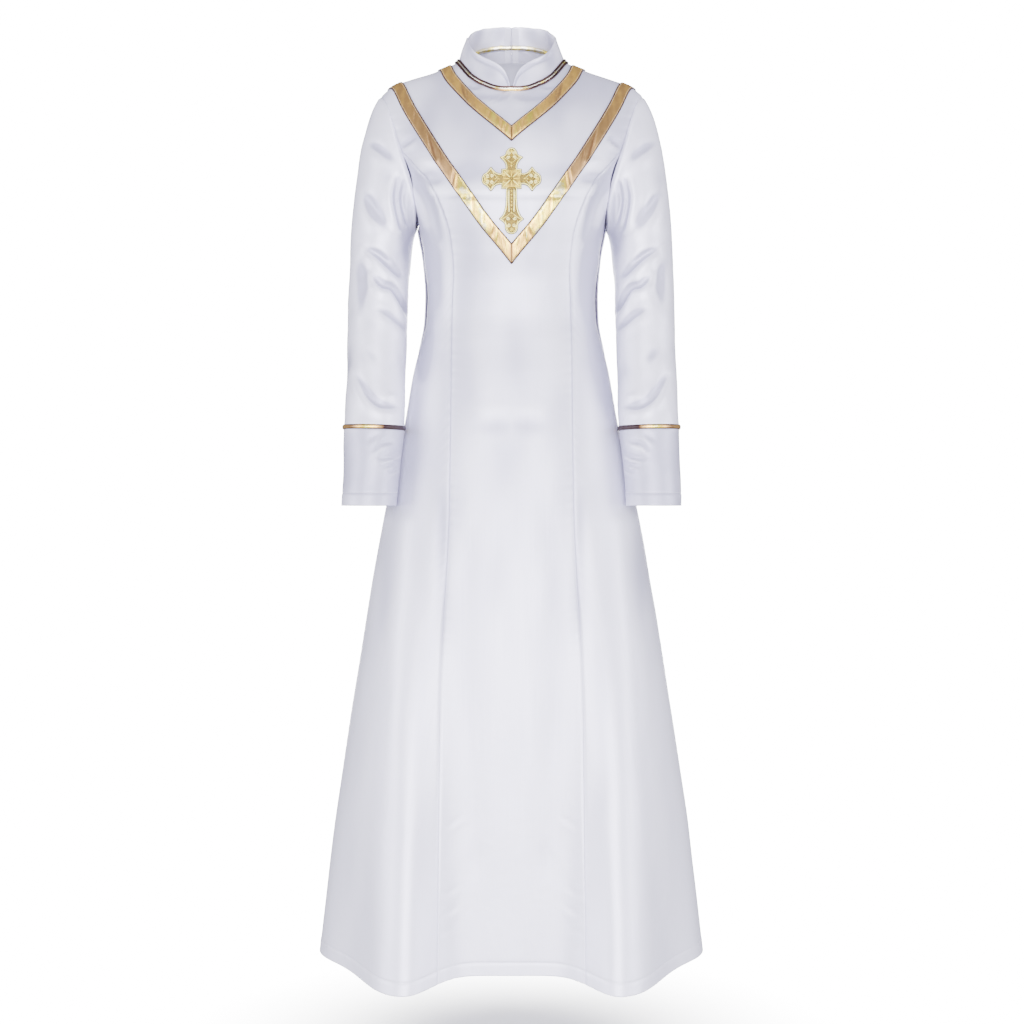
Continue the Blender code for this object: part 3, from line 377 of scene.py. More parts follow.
def spaced(total, step, fine=(0.0, 0.0008, 0.0018, 0.0032, 0.0052), ends=(True, True)):
    # Places along a length, closer together beside a seam.
    low = list(fine) if ends[0] else [0.0]
    high = [total - place for place in fine] if ends[1] else [total]
    count = max(1, round((high[-1] - low[-1]) / step))
    middle = np.linspace(low[-1], high[-1], count + 1)
    return np.concatenate([low[:-1], middle, high[:-1][::-1]])


gridMeshes = {}


def gridMesh(rows, columns):
    # A flat grid, made once for each number of rows and columns.
    if (rows, columns) not in gridMeshes:
        bm = bmesh.new()
        bmesh.ops.create_grid(bm, x_segments=columns - 1, y_segments=rows - 1, size=1)
        gridMeshes[rows, columns] = bpy.data.meshes.new(f"grid_{rows}_{columns}")
        bm.to_mesh(gridMeshes[rows, columns])
        bm.free()
    return gridMeshes[rows, columns]


def laidGrids(name, grids, closed):
    # One mesh from grids of points and their shine, with the weave laid out in metres.
    bm = bmesh.new()
    places, weaves, shines = [], [], []
    for points, shine in grids:
        across, up = lengths(points, 1), lengths(points, 0)
        across = across - across.mean(axis=1, keepdims=True)
        up = np.repeat(up.mean(axis=1, keepdims=True), points.shape[1], axis=1)
        rows, columns = points.shape[:2]
        bm.from_mesh(gridMesh(rows, columns))
        places.append(points.reshape(-1, 3))
        weaves.append(joined(across, up).reshape(-1, 2))
        shines.append((shine + np.zeros(points.shape[:2])).reshape(-1))
    mesh = bpy.data.meshes.new(name)
    bm.to_mesh(mesh)
    mesh.vertices.foreach_set("co", np.concatenate(places).reshape(-1))
    corners = np.empty(len(mesh.loops), int)
    mesh.loops.foreach_get("vertex_index", corners)
    weave = np.concatenate(weaves)[corners]
    mesh.uv_layers.new(name="weave").data.foreach_set("uv", weave.reshape(-1))
    mesh.attributes.new("shine", "FLOAT", "POINT").data.foreach_set("value", np.concatenate(shines))
    bm.clear()
    bm.from_mesh(mesh)
    bmesh.ops.remove_doubles(bm, verts=bm.verts, dist=merge["points"])
    bmesh.ops.dissolve_degenerate(bm, edges=bm.edges, dist=merge["edges"])
    if closed:
        bmesh.ops.recalc_face_normals(bm, faces=bm.faces)
    bm.to_mesh(mesh)
    bm.free()
    return mesh


def addPiece(name, grids, finish, replaced=(), wall=0.0):
    # With a wall, sheets that face outwards and have their thickness behind them. Without, closed forms.
    mesh = laidGrids(name, grids, closed=not wall)
    mesh.materials.append(finish)
    mesh.shade_smooth()
    piece = bpy.data.objects.new(name, mesh)
    bpy.context.scene.collection.objects.link(piece)
    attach(piece, "garment")
    if replaced:
        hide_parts(*replaced)
    if wall:
        thickness = piece.modifiers.new("wall", "SOLIDIFY")
        thickness.thickness, thickness.offset = wall, -1
    return piece


def mirrored(points, hand):
    # Points of the right half, for the left one when hand is -1. Hand 0 is a piece that spans both.
    return points * np.array([hand or 1, 1, 1])


def handed(points, hand):
    # The same for a grid, with its columns turned so that it still faces out.
    return points if hand >= 0 else mirrored(points[:, ::-1], hand)


def satinPiece(node, points, shine, hand, wall):
    # A sheet of the garment's satin in place of a solid of the frame.
    grids = [(handed(points, hand), shine if hand >= 0 else shine[:, ::-1])]
    addPiece(f"{node}_satin", grids, whiteSatin, [node], wall)


def tubeGrid(way, outs, halfAcross, halfOut, sides):
    # A tube along a way, with an oval section that shrinks to a point at both ends.
    tangents = unit(np.gradient(way, axis=0))
    outs = unit(outs - tangents * (outs * tangents).sum(-1, keepdims=True))
    sideways = np.cross(tangents, outs)
    turn = np.linspace(0, 2 * math.pi, sides + 1)
    halfAcross = np.broadcast_to(halfAcross, len(way))[:, None, None]
    halfOut = np.broadcast_to(halfOut, len(way))[:, None, None]
    rings = way[:, None] + sideways[:, None] * np.cos(turn)[None, :, None] * halfAcross
    rings = rings + outs[:, None] * np.sin(turn)[None, :, None] * halfOut
    ends = [np.repeat(way[i][None, None], sides + 1, axis=1) for i in (0, -1)]
    return np.concatenate([ends[0], rings, ends[1]])


def loopGrid(way, outs, halfAcross, halfOut, sides):
    # The same for a way that comes round to its start, where the section goes on.
    return tubeGrid(np.concatenate([way, way[:1]]), np.concatenate([outs, outs[:1]]),
                    halfAcross, halfOut, sides)[1:-1]


def tubeShine(shine):
    # A value for each ring of a tube, and for the points that close it.
    return np.concatenate([shine[:1], shine, shine[-1:]])[:, None]


def stitchRow(way, outs, pitch, length, thick, lift):
    # Single stitches along a line, each a short spindle of thread half sunk in the cloth.
    run = lengths(way)
    ends = np.array([-0.5, -0.3, 0.3, 0.5]) * length
    rise = np.array([-0.3, 1, 1, -0.3])[:, None] * lift
    swell = np.array([0.5, 1, 1, 0.5]) * thick
    grids = []
    for place in np.arange(pitch / 2, run[-1] - pitch / 2, pitch):
        out = unit(spotOn(outs, run, place))
        grids.append((tubeGrid(spotOn(way, run, place + ends) + out * rise, out, swell, swell, 4), 0.8))
    return grids


# Materials

class Wire:
    # A socket of a material, so that its maths reads as sums.
    def __init__(self, finish, socket):
        self.finish, self.socket = finish, socket

    def maths(self, operation, other):
        return self.finish.node("ShaderNodeMath", {"operation": operation}, self, other)

    def __add__(self, other):
        return self.maths("ADD", other)

    def __sub__(self, other):
        return self.maths("SUBTRACT", other)

    def __mul__(self, other):
        return self.maths("MULTIPLY", other)

    __radd__ = __add__


class Finish:
    # A material, made node by node.
    def __init__(self, name, **constants):
        self.material = bpy.data.materials.new(name)
        self.material.use_nodes = True
        self.tree = self.material.node_tree
        self.shader = self.tree.nodes["Principled BSDF"]
        self.give(self.shader, **constants)

    def put(self, socket, value):
        if isinstance(value, Wire):
            self.tree.links.new(value.socket, socket)
        else:
            socket.default_value = value

    def give(self, node, **labelled):
        # Wires and values for a node's inputs, by their names.
        for label, value in labelled.items():
            self.put(node.inputs[label.replace("_", " ")], value)

    def node(self, kind, settings, *values, out=0, **labelled):
        made = self.tree.nodes.new(kind)
        for label, value in settings.items():
            if label == "stops":
                ramp = made.color_ramp.elements
                while len(ramp) < len(value):
                    ramp.new(0.5)
                for element, (place, colour) in zip(ramp, value):
                    element.position, element.color = place, (*colour, 1)
            else:
                setattr(made, label, value)
        for socket, value in zip(made.inputs, values):
            self.put(socket, value)
        self.give(made, **labelled)
        return Wire(self, made.outputs[out])

    def shine(self):
        return self.node("ShaderNodeAttribute", {"attribute_name": "shine"}, out=2)

    def mix(self, part, first, second):
        made = self.node("ShaderNodeMix", {"data_type": "RGBA"}, part, out=2)
        for socket, colour in zip(made.socket.node.inputs[6:8], (first, second)):
            self.put(socket, (*colour, 1))
        return made

    def fade(self, value, low, high, start, end):
        settings = {"interpolation_type": "SMOOTHSTEP"}
        return self.node("ShaderNodeMapRange", settings, value, low, high, start, end)

    def place(self, source, scale=(1, 1, 1)):
        where = self.node("ShaderNodeTexCoord", {}, out=source)
        return self.node("ShaderNodeMapping", {}, Vector=where, Scale=scale)

    def noise(self, where, scale, detail=2.0, rough=0.5):
        return self.node("ShaderNodeTexNoise", {}, Vector=where, Scale=scale, Detail=detail,
                         Roughness=rough)

    def waves(self, where, pitch, direction, wobble):
        # Threads side by side, so many metres apart: at a scale of 1 the waves are 0.314 m long.
        settings = {"wave_profile": "SIN", "bands_direction": direction}
        return self.node("ShaderNodeTexWave", settings, Vector=where, Scale=0.314 / pitch,
                         Distortion=wobble)

    def relief(self, *layers):
        # Bumps of given depths in metres, one over the other.
        normal = None
        for height, depth in layers:
            given = {"Normal": normal} if normal else {}
            normal = self.node("ShaderNodeBump", {}, Height=height, Distance=depth, Strength=1.0, **given)
        self.put(self.shader.inputs["Normal"], normal)


# bright and shade: the satin's colour with a painted highlight on a ridge and with painted shade in a
# crease
satinLook = {
    "bright": (0.850, 0.838, 0.990), "shade": (0.485, 0.476, 0.630), "shadeWidth": (0.22, 0.62),
    "metal": 0.32, "roughness": 0.42, "sheen": 0.10, "threadPitch": 0.00045, "threadDepth": 0.000012,
    "slubs": (420, 7, 1), "slubTone": 0.10, "slubDepth": 0.00005, "crumple": 75, "crumpleDepth": 0.00030,
    "cloud": 9, "cloudTone": 0.14, "evenTone": 0.08,
    # turnRate: painted light and shade for each metre of relief, darker in a crease and lighter on a ridge
    "turnRate": 130, "turnEnds": (0.05, 0.95),  # brightness for each metre of relief, and its ends
}


def makeSatin(name, look):
    # White satin, with painted shade where the cloth turns in and a painted highlight on a ridge.
    finish = Finish(name, Metallic=look["metal"], Sheen_Weight=look["sheen"], Sheen_Roughness=0.35)
    # The shine attribute's painted shade and highlight, as a share of the bright colour
    paintedLight = finish.fade(finish.shine(), *look["shadeWidth"], 0.0, 1.0)
    threads = finish.waves(finish.place("UV"), look["threadPitch"], "DIAGONAL", 0.4)
    slubs = finish.noise(finish.place("UV", look["slubs"]), 1.0, 3.0)  # long faint streaks along the warp
    inSpace = finish.place("Object")
    crumple = finish.noise(inSpace, look["crumple"], 3.0, 0.45)
    cloud = finish.noise(inSpace, look["cloud"])
    tone = paintedLight - cloud * look["cloudTone"] - slubs * look["slubTone"] + look["evenTone"]
    finish.give(finish.shader, Base_Color=finish.mix(tone, look["shade"], look["bright"]),
                Roughness=look["roughness"] + slubs * 0.10)
    finish.relief((crumple, look["crumpleDepth"]), (slubs, look["slubDepth"]),
                  (threads, look["threadDepth"]))
    return finish.material


whiteSatin = makeSatin("whiteSatin", satinLook)


def paintedCreaseLight(relief, tone):
    # Painted light and shade on the cloth for its height over the plain form, darker in a crease and
    # lighter on a ridge: 0.5 and the tone, a painted light or shade too, on a flat place.
    return np.clip(0.5 + tone + relief * satinLook["turnRate"], *satinLook["turnEnds"])


def makeGold(name, look):
    # The shine attribute paints light on the gold: from deep brown, painted shade where a crease shades it,
    # through caramel to cream, a painted reflection; more shine also makes it more metallic and smoother.
    finish = Finish(name, Specular_IOR_Level=0.6)
    shine, inSpace = finish.shine(), finish.place("Object")
    grain = finish.noise(inSpace, look["grain"], 3.0, 0.6)
    patch = finish.noise(inSpace, look["patch"])
    threads = finish.waves(finish.place("UV"), look["threadPitch"], look["lay"], look["wobble"])
    tone = shine + (patch - 0.5) * shine * look["patchiness"] + (grain - 0.5) * look["graininess"]
    plain, gain = look["metal"]
    finish.give(finish.shader, Metallic=plain + shine * gain,
                Base_Color=finish.node("ShaderNodeValToRGB", {"stops": look["stops"]}, tone),
                Roughness=look["roughness"] + grain * 0.14 - shine * 0.15)
    finish.relief((patch, look["patchDepth"]), (grain, look["grainDepth"]), (threads, look["threadDepth"]))
    return finish.material


# goldStops: the lamé's colour by shine, dark brown for painted shade in a crease, cream for a painted
# reflection of the lamps
goldStops = ((0.0, (0.022, 0.006, 0.008)), (0.16, (0.055, 0.018, 0.013)), (0.32, (0.20, 0.105, 0.040)),
             (0.50, (0.36, 0.21, 0.080)), (0.64, (0.55, 0.32, 0.105)), (0.76, (0.98, 0.59, 0.13)),
             (0.88, (1.0, 0.65, 0.12)), (0.95, (1.0, 0.83, 0.10)), (1.0, (1.0, 0.95, 0.82)))
goldLame = makeGold("goldLame", {
    "stops": goldStops, "grain": 900, "patch": 110, "patchiness": 0.16, "graininess": 0.06,
    "threadPitch": 0.0006, "lay": "Y", "wobble": 0.6, "metal": (0.50, 0.45), "roughness": 0.38,
    "patchDepth": 0.00022, "grainDepth": 0.00004, "threadDepth": 0.00002})
threadStops = ((0.0, (0.030, 0.016, 0.010)), (0.22, (0.12, 0.075, 0.016)), (0.45, (0.40, 0.275, 0.035)),
               (0.70, (0.90, 0.65, 0.06)), (0.88, (1.0, 0.85, 0.14)), (1.0, (1.0, 0.94, 0.40)))
goldEmbroidery = makeGold("goldEmbroidery", {
    "stops": threadStops, "grain": 700, "patch": 240, "patchiness": 0.14, "graininess": 0.22,
    "threadPitch": 0.0009, "lay": "DIAGONAL", "wobble": 0.8, "metal": (0.45, 0.25), "roughness": 0.42,
    "patchDepth": 0.00010, "grainDepth": 0.00006, "threadDepth": 0.00010})


def makeThread(name, colour, deep, roughness, pitch=0.0007):
    # Twisted thread or woven tape, seen as slanted strands.
    finish = Finish(name, Specular_IOR_Level=0.4, Sheen_Weight=0.1)
    strands = finish.waves(finish.place("UV"), pitch, "DIAGONAL", 0.3)
    speck = finish.noise(finish.place("Object"), 500)
    finish.give(finish.shader, Base_Color=finish.mix(strands * 0.6 + speck * 0.4, deep, colour),
                Roughness=roughness + speck * 0.15)
    finish.relief((strands, 0.00006))
    return finish.material


# Dark lines for the band edges and the sides of the cuff piping
darkEdgeLines = makeThread("darkEdgeLines", (0.042, 0.013, 0.014), (0.014, 0.005, 0.006), 0.45)
paleThread = makeThread("paleThread", (0.86, 0.74, 0.50), (0.66, 0.50, 0.28), 0.5)
whiteThread = makeThread("whiteThread", (0.80, 0.80, 0.84), (0.62, 0.62, 0.68), 0.55)
tapeWeave = makeThread("tapeWeave", (0.74, 0.73, 0.88), (0.62, 0.61, 0.75), 0.75, 0.0009)


def makeEnamel():
    finish = Finish("zipEnamel", Metallic=0.6, Coat_Roughness=0.2)
    worn = finish.noise(finish.place("Object"), 900, 4.0, 0.6)
    finish.give(finish.shader, Base_Color=finish.mix(worn, (0.80, 0.80, 0.82), (0.70, 0.70, 0.73)),
                Roughness=worn * 0.25 + 0.2, Coat_Weight=worn * 0.4)
    finish.relief((worn, 0.00003))
    return finish.material


zipEnamel = makeEnamel()
print("materials ready")


# Body panels

cloth = {
    "wall": 0.0012, "step": 0.0042, "centreWidth": 0.100, "flankWidth": 0.210, "yokeRows": 47,
    "toNeck": 0.25,  # the share of a yoke's rows that runs up the armhole before the neck is reached
    "rumples": ((0.110, 0.00045, 5), (0.034, 0.00010, 8)),  # size, height and seed of each layer
    "puckerPitch": 0.017, "puckerReach": 0.008,
    "princessPuckers": 0.00035, "sidePuckers": 0.0003, "shoulderPuckers": 0.0001,
    "hemRows": (0, 0.0015, 0.004, 0.008, 0.012, 0.015, 0.0165, 0.018, 0.0195, 0.0215),
    "hemDepth": 0.018, "hemLift": 0.0004, "hemGroove": 0.0006, "hemGrooveWidth": 0.0012,
    "hemRipple": 0.00016, "hemRippleAt": (0.013, 0.009),
}

# By height: how strongly a crease's painted shade and highlight show on the satin, and the painted light or
# shade of the satin between creases
paintedCreaseGain = Rows((-1.35, 0.35), (-1.10, 0.45), (-0.85, 0.75), (-0.65, 1.15), (-0.45, 1.4), (0.10, 1.4))
paintedLightByHeight = Rows((-1.35, 0.10), (-1.00, 0.10), (-0.80, 0.00), (-0.58, -0.05), (-0.34, -0.05),
                 (-0.26, -0.01), (-0.18, 0.02), (-0.14, -0.06), (-0.10, -0.10), (0.08, -0.10))

bodyCreases = {
    front: creaseRows(
        (3.5, -0.8, 0.3, (62, -44), (46, -47)),
        (5.5, -0.7, 0.3, (50, -61), (24, -64), (0, -65)),
        (4, -1, 0.4, (164, -136), (141, -122)),
        (6, 0.9, 0, (134, -160), (102, -164)),
        (8.5, -1.3, 0.2, (136, -181), (100, -190)),
        (8, 0.6, 0, (130, -206), (60, -207), (0, -208)),
        (3, -0.6, 0.3, (118, -213), (60, -217), (0, -219)),
        (16, -0.6, 0, (110, -176), (60, -180), (0, -182)),
        (7.5, -1.8, 0.4, (164, -147), (147, -176), (122, -218), (106, -270)),
        (9, -2.2, 0.2, (160, -196), (146, -236), (136, -290)),
        (11, -2.2, 0.1, (137, -310), (130, -385), (132, -470)),
        (18, -1.8, 0.1, (124, -250), (119, -310), (112, -375)),
        (12, -0.4, 0.3, (111, -372), (126, -470), (150, -560)),
        (10, 0.3, 0, (50, -520), (0, -522)),
        (11, -0.4, 0, (52, -545), (0, -543)),
        (10, -0.8, 0.2, (100, -640), (98, -760), (96, -880)),
        (15, 0.9, 0, (152, -690), (161, -852), (168, -1100)),
        (12, -0.4, 0.2, (184, -700), (190, -850)),
        (15, -0.8, 0.3, (128, -860), (126, -1060), (129, -1290)),
        (17, -0.5, 0.3, (60, -700), (64, -950), (58, -1180)),
        (16, 0.4, 0.3, (19, -820), (24, -1020), (16, -1290)),
        (15, 0.6, 0, (206, -960), (222, -1120), (234, -1290)),
        (9, -0.4, 0.3, (48, -1138), (52, -1182)),
        (3, -0.4, 0.5, (94, -1118), (68, -1099)),
        (3, -0.4, 0.5, (95, -1211), (76, -1200)),
        (3.4, -0.5, 0.5, (99, -1240), (76, -1228)),
        (2.8, -0.3, 0.5, (99, -1262), (82, -1259))),
    back: creaseRows(
        (6, -1.1, 0.4, (150, -130), (118, -124)),
        (9, -1.8, 0.4, (158, -172), (128, -196), (104, -244)),
        (9, -1.2, 0.4, (60, -300), (20, -318), (0, -320)),
        (8, -1.3, 0.4, (76, -352), (30, -360), (0, -356)),
        (7, -1, 0.4, (110, -352), (84, -372)),
        (13, -1.6, 0.3, (84, -420), (100, -560), (108, -700)),
        (14, -1.3, 0.3, (30, -460), (36, -640), (34, -900)),
        (14, 2.2, 0, (150, -700), (158, -900), (160, -1150)),
        (15, -2.2, 0.3, (190, -760), (206, -1000), (222, -1270)),
        (3.2, -0.8, 0.5, (94, -1180), (78, -1172)),
        (10, -1, 0.3, (12, -1020), (16, -1160))),
}


def hemFold(up, depth, width):
    # A turned-up hem stands a little thicker, with its stitched line sunk in at its depth.
    lift = cloth["hemLift"] * (1 - smoothStep((up - depth + 0.002) / 0.002))
    return lift - cloth["hemGroove"] * bump(up - depth, width)


def bodyRelief(points, side, hand, up, seams):
    # seams: distance to each seam beside the panel, with the height of its puckers.
    signed = mirrored(points, hand)
    across = signed[..., 0]
    relief = creased(bodyCreases[side], np.abs(across), points[..., 2]) + rumpled(signed, cloth["rumples"])
    for number, (distance, height) in enumerate(seams):
        relief += seamDip(distance)
        relief += puckers(up, distance, cloth["puckerPitch"], height, cloth["puckerReach"],
                          31 + number + 3 * hand + side)
    relief += hemFold(up, cloth["hemDepth"], cloth["hemGrooveWidth"])
    middle, spread = cloth["hemRippleAt"]
    ripples = np.sin(across * 480 + 2 * np.sin(across * 37) + up * 240)
    return relief + cloth["hemRipple"] * ripples * bump(up - middle, spread)


def skirtLevels(top):
    # Heights of the rows up to a level, closer together at the hem and its stitches.
    low = body["hem"] + np.array(cloth["hemRows"])
    count = max(1, round((top - low[-1]) / cloth["step"]))
    return np.concatenate([low, np.linspace(low[-1], top, count + 1)[1:]])


def centreGrid(side):
    # From the centre line out to the princess seam, then to the armhole and the shoulder seam.
    width, toNeck, lowest = cloth["centreWidth"], cloth["toNeck"], princessTop[side][2]
    parts = spaced(width, cloth["step"], ends=(side == back, True)) / width
    low = skirtLevels(lowest)[:-1]
    x = princess.at(low, sideColumn[side])[:, None] * parts
    skirt = skirtPoint(x, low[:, None] + 0 * x, side)
    shares = np.linspace(0, 1, cloth["yokeRows"])
    onNeck = np.clip((shares - toNeck) / (1 - toNeck), 0, 1) * 90
    inner = neckSpot(onNeck if side == front else 180 - onNeck)
    rising = lowest + (inner[0, 2] - lowest) * np.clip(shares / toNeck, 0, 1)
    inner[:, 2] = np.where(shares < toNeck, rising, inner[:, 2])
    outer = armholeSpot(body["princessAngle"] * (1 - shares), side)
    rises = [riseAt(chain[:, 0], chain[:, 2], side) for chain in (inner, outer)]
    rises[0][-1] = rises[1][-1] = quarter
    x = inner[:, :1] + (outer[:, :1] - inner[:, :1]) * parts
    rise = rises[0][:, None] + (rises[1] - rises[0])[:, None] * parts
    return np.concatenate([skirt, risenPoint(x, rise, side)])


def flankGrid(side):
    # From the princess seam round to the side seam, then up to a point on the armhole.
    levels = skirtLevels(princessTop[side][2])
    starts = sectionAngle(princess.at(levels, sideColumn[side]), levels)
    turn = np.degrees(np.arccos(np.clip((levels - body["armhole"][0]) / body["armhole"][1], -1, 1)))
    ends = armholeSpot(turn, side)
    ends = np.where(levels > body["underarm"], sectionAngle(ends[:, 0], levels), quarter)
    angles = starts[:, None] + (ends - starts)[:, None] * np.linspace(0, 1, 241)
    heights = levels[:, None] + 0 * angles
    run = lengths(skirtPoint(acrossAt(angles, heights), heights, side), 1)
    parts = spaced(cloth["flankWidth"], cloth["step"]) / cloth["flankWidth"]
    for row, total in enumerate(run[:, -1]):  # at equal shares of each row's length
        placed = np.interp(parts * total, run[row], angles[row]) if total > 1e-6 else starts[row]
        angles[row, :len(parts)] = placed
    angles, heights = angles[:, :len(parts)], heights[:, :len(parts)]
    return skirtPoint(acrossAt(angles, heights), heights, side)


def buildPanel(node, side, hand, points, seams):
    up = lengths(points)
    normals = outward(points) * -side
    relief = bodyRelief(points, side, hand, up, seams)
    points = points + normals * relief[..., None]
    stitched = cloth["hemRows"].index(cloth["hemDepth"])
    hemLines.append((points[stitched], normals[stitched], hand))
    z = points[..., 2]
    # Painted shade in the creases and painted light or shade by height, kept in the shine attribute
    shine = paintedCreaseLight(relief * paintedCreaseGain.at(z), paintedLightByHeight.at(z))
    if side == back:
        points, shine = points[:, ::-1], shine[:, ::-1]
    satinPiece(node, points, shine, hand, cloth["wall"])


hemLines = []
for side, title in ((front, "front"), (back, "back")):
    centre, flank = centreGrid(side), flankGrid(side)
    fromCentre, fromPrincess, alongUp = lengths(centre, 1), lengths(flank, 1), lengths(centre)
    gaps = {"princess": fromCentre[:, -1:] - fromCentre, "shoulder": alongUp[-1:] - alongUp,
            "side": fromPrincess[:, -1:] - fromPrincess}
    if side == front:
        whole = np.concatenate([mirrored(centre[:, :0:-1], -1), centre], axis=1)
        buildPanel("front_centre", side, 0, whole, [
            (np.concatenate([gaps[seam][:, :0:-1], gaps[seam]], axis=1), cloth[f"{seam}Puckers"])
            for seam in ("princess", "shoulder")])
    for hand, half in halves:
        if side == back:
            buildPanel(f"back_{half}", side, hand, centre, [
                (gaps["princess"], cloth["princessPuckers"]), (fromCentre, cloth["sidePuckers"]),
                (gaps["shoulder"], cloth["shoulderPuckers"])])
        buildPanel(f"{title}_side_{half}", side, hand, flank, [
            (fromPrincess, cloth["sidePuckers"]), (gaps["side"], cloth["sidePuckers"])])
print("body panels ready")


# Sleeves and cuffs

sleeve = {
    "wall": 0.0012, "columns": 92, "capRows": 62, "armStep": 0.0036, "tuck": 0.0015,
    "topPull": np.array([0.106, 0.0, -0.106]), "underPull": np.array([0.020, 0.0, -0.046]),
    "sidePull": 0.020, "arrival": np.array([0.02, -0.10, -1.0]), "endTop": 0.150, "endUnder": 0.045,
    "rumples": ((0.070, 0.00060, 11), (0.026, 0.00014, 12)), "seam": 0.0004, "seamRound": 0.045,
    # Puckers: pitch, height, reach and seed
    "gathers": (0.075, 0.0004, 0.010, 51), "armPuckers": (0.020, 0.0003, 0.008, 53),
    "cuffPuckers": (0.016, 0.0005, 0.010, 57),
    # Painted light over the whole sleeve, painted shade over the whole cuff, and how strongly a crease's
    # painted shade shows on the sleeve
    "armPaintedLight": 0.11, "cuffPaintedShade": -0.24, "shadeGain": 1.55,
    "cuffHem": (0.0935, 0.095, 0.0965, 0.098, 0.1005, 0.104, 0.1075, 0.110, 0.112, 0.114),
    "cuffRows": 27, "stitched": 28, "hemDepth": 0.0185, "hemGrooveWidth": 0.0011,
}

armCreases = (
    creaseRows(  # in front
        (7, -1.6, 0.4, (214, -122), (196, -134), (174, -152)),
        (8.5, -2.6, 0.4, (217, -200), (204, -224), (186, -248)),
        (6.2, -3, 0.6, (212, -282), (190, -296), (163, -322)),
        (5.8, -3.4, 0.6, (200, -326), (188, -336), (172, -342), (152, -378)),
        (8, -1.4, 0.3, (224, -300), (219, -330), (222, -372)),
        (6, -1.4, 0.4, (197, -372), (176, -382), (153, -404)),
        (6, -2.4, 0.6, (226, -470), (206, -500), (188, -514), (166, -517)),
        (9, -1, 0.3, (214, -430), (196, -452)),
        (4, 1, 0, (184, -500), (166, -502)),
        (4.6, -3.2, 0.5, (166, -180), (170, -210), (163, -250)),
        (3.6, -2.6, 0.5, (157, -183), (160, -210), (154, -242)),
        (12, -1.4, 0, (160, -196), (156, -250), (152, -300))),
    creaseRows(  # behind
        (8, -1.8, 0.4, (212, -140), (190, -158), (172, -190)),
        (8, -2, 0.4, (220, -236), (200, -262), (176, -276)),
        (6.5, -1.8, 0.5, (216, -300), (194, -308), (166, -330)),
        (7, -1.6, 0.5, (220, -352), (196, -350), (168, -362)),
        (7, -1.6, 0.4, (214, -440), (190, -462), (170, -498))),
)
cuffCreases = (
    creaseRows(
        (3, -1.4, 0.6, (196, -580), (186, -571), (170, -567)),
        (2.8, -1.5, 0.6, (190, -593), (174, -590), (159, -581)),
        (2.6, -1.4, 0.6, (184, -603), (173, -601), (160, -592)),
        (2.4, -1.2, 0.6, (178, -611), (170, -609), (161, -600)),
        (4, -0.8, 0.4, (206, -566), (190, -556))),
    (),
)


def armAngles():
    # Once round the arm: 0 on the outside, 90 in front, 180 under the arm, 270 behind.
    return np.linspace(0, 360, sleeve["columns"] + 1)


def armRing(z, angles):
    turn = np.radians(angles)
    x = armRings.at(z) + armRings.at(z, 2) * np.cos(turn)
    y = armRings.at(z, 1) - armRings.at(z, 3) * np.sin(turn)
    return joined(x, y, z)


def capGrid():
    # From the armhole to the upper arm, each line leaving the shoulder at its own angle.
    angles = armAngles()
    turn = np.radians(angles)
    fromFront = armholeSpot(np.minimum(angles, 360 - angles), front)
    fromBack = armholeSpot(np.minimum(angles, 360 - angles), back)
    start = np.where((angles <= 180)[:, None], fromFront, fromBack)
    top = (1 + np.cos(turn))[:, None] / 2
    leaving = sleeve["underPull"] + (sleeve["topPull"] - sleeve["underPull"]) * top
    leaving = leaving + joined(0, -sleeve["sidePull"] * np.sin(turn), 0)
    arriving = sleeve["arrival"] * (sleeve["endUnder"] + (sleeve["endTop"] - sleeve["endUnder"]) * top)
    end = armRing(body["upperArm"], angles)
    rows = []
    for t in np.concatenate([[0, 0.004, 0.010, 0.018, 0.028], np.linspace(0.04, 1, sleeve["capRows"])]):
        rows.append(start * ((1 + 2 * t) * (1 - t) ** 2) + leaving * (t * (1 - t) ** 2)
                    + end * (t * t * (3 - 2 * t)) - arriving * (t * t * (1 - t)))
    rows[0] = rows[0] - unit(leaving) * sleeve["tuck"]
    return np.stack(rows)


def armRelief(points, angles, hand, creases):
    facing = np.sin(np.radians(angles)) + 0 * points[..., 0]
    inFront, behind = creases
    x, z = points[..., 0], points[..., 2]
    relief = creased(inFront, x, z) * smoothStep(facing * 2.2 + 0.2)
    relief += creased(behind, x, z) * smoothStep(0.2 - facing * 2.2)
    return relief + rumpled(mirrored(points, hand), sleeve["rumples"])


def underSeam(angles, down, setting):
    # The seam under the arm, with its puckers.
    distance = np.abs(angles - 180) / 180 * math.pi * sleeve["seamRound"]
    return seamDip(distance, 0.0006, 0.0002) + puckers(down, distance + 0 * down, *setting)


def buildSleeve(hand, half):
    angles, top, end = armAngles(), body["upperArm"], body["cuffSeam"]
    levels = np.linspace(top, end, round((top - end) / sleeve["armStep"]) + 1)[1:]
    arm = np.concatenate([capGrid(), np.stack([armRing(z, angles) for z in levels])])
    down = lengths(arm)
    relief = armRelief(arm, angles, hand, armCreases) + underSeam(angles, down, sleeve["armPuckers"])
    relief += seamDip(down - sleeve["tuck"], sleeve["seam"], 0.0006)
    relief += seamDip(down[-1:] - down, sleeve["seam"], 0.0004)
    pitch, height, reach, seed = sleeve["gathers"]
    gathers = puckers(angles / 57 + 0 * down, down, pitch, height, reach, seed + hand)
    relief += gathers * smoothStep(np.minimum(angles, 360 - angles) / 16)
    arm = arm + outward(arm, loop=True) * relief[..., None]
    # Painted shade in the sleeve's creases and painted light over it
    shine = paintedCreaseLight(relief * sleeve["shadeGain"], sleeve["armPaintedLight"])
    satinPiece(f"sleeve_{half}", arm, shine, hand, sleeve["wall"])


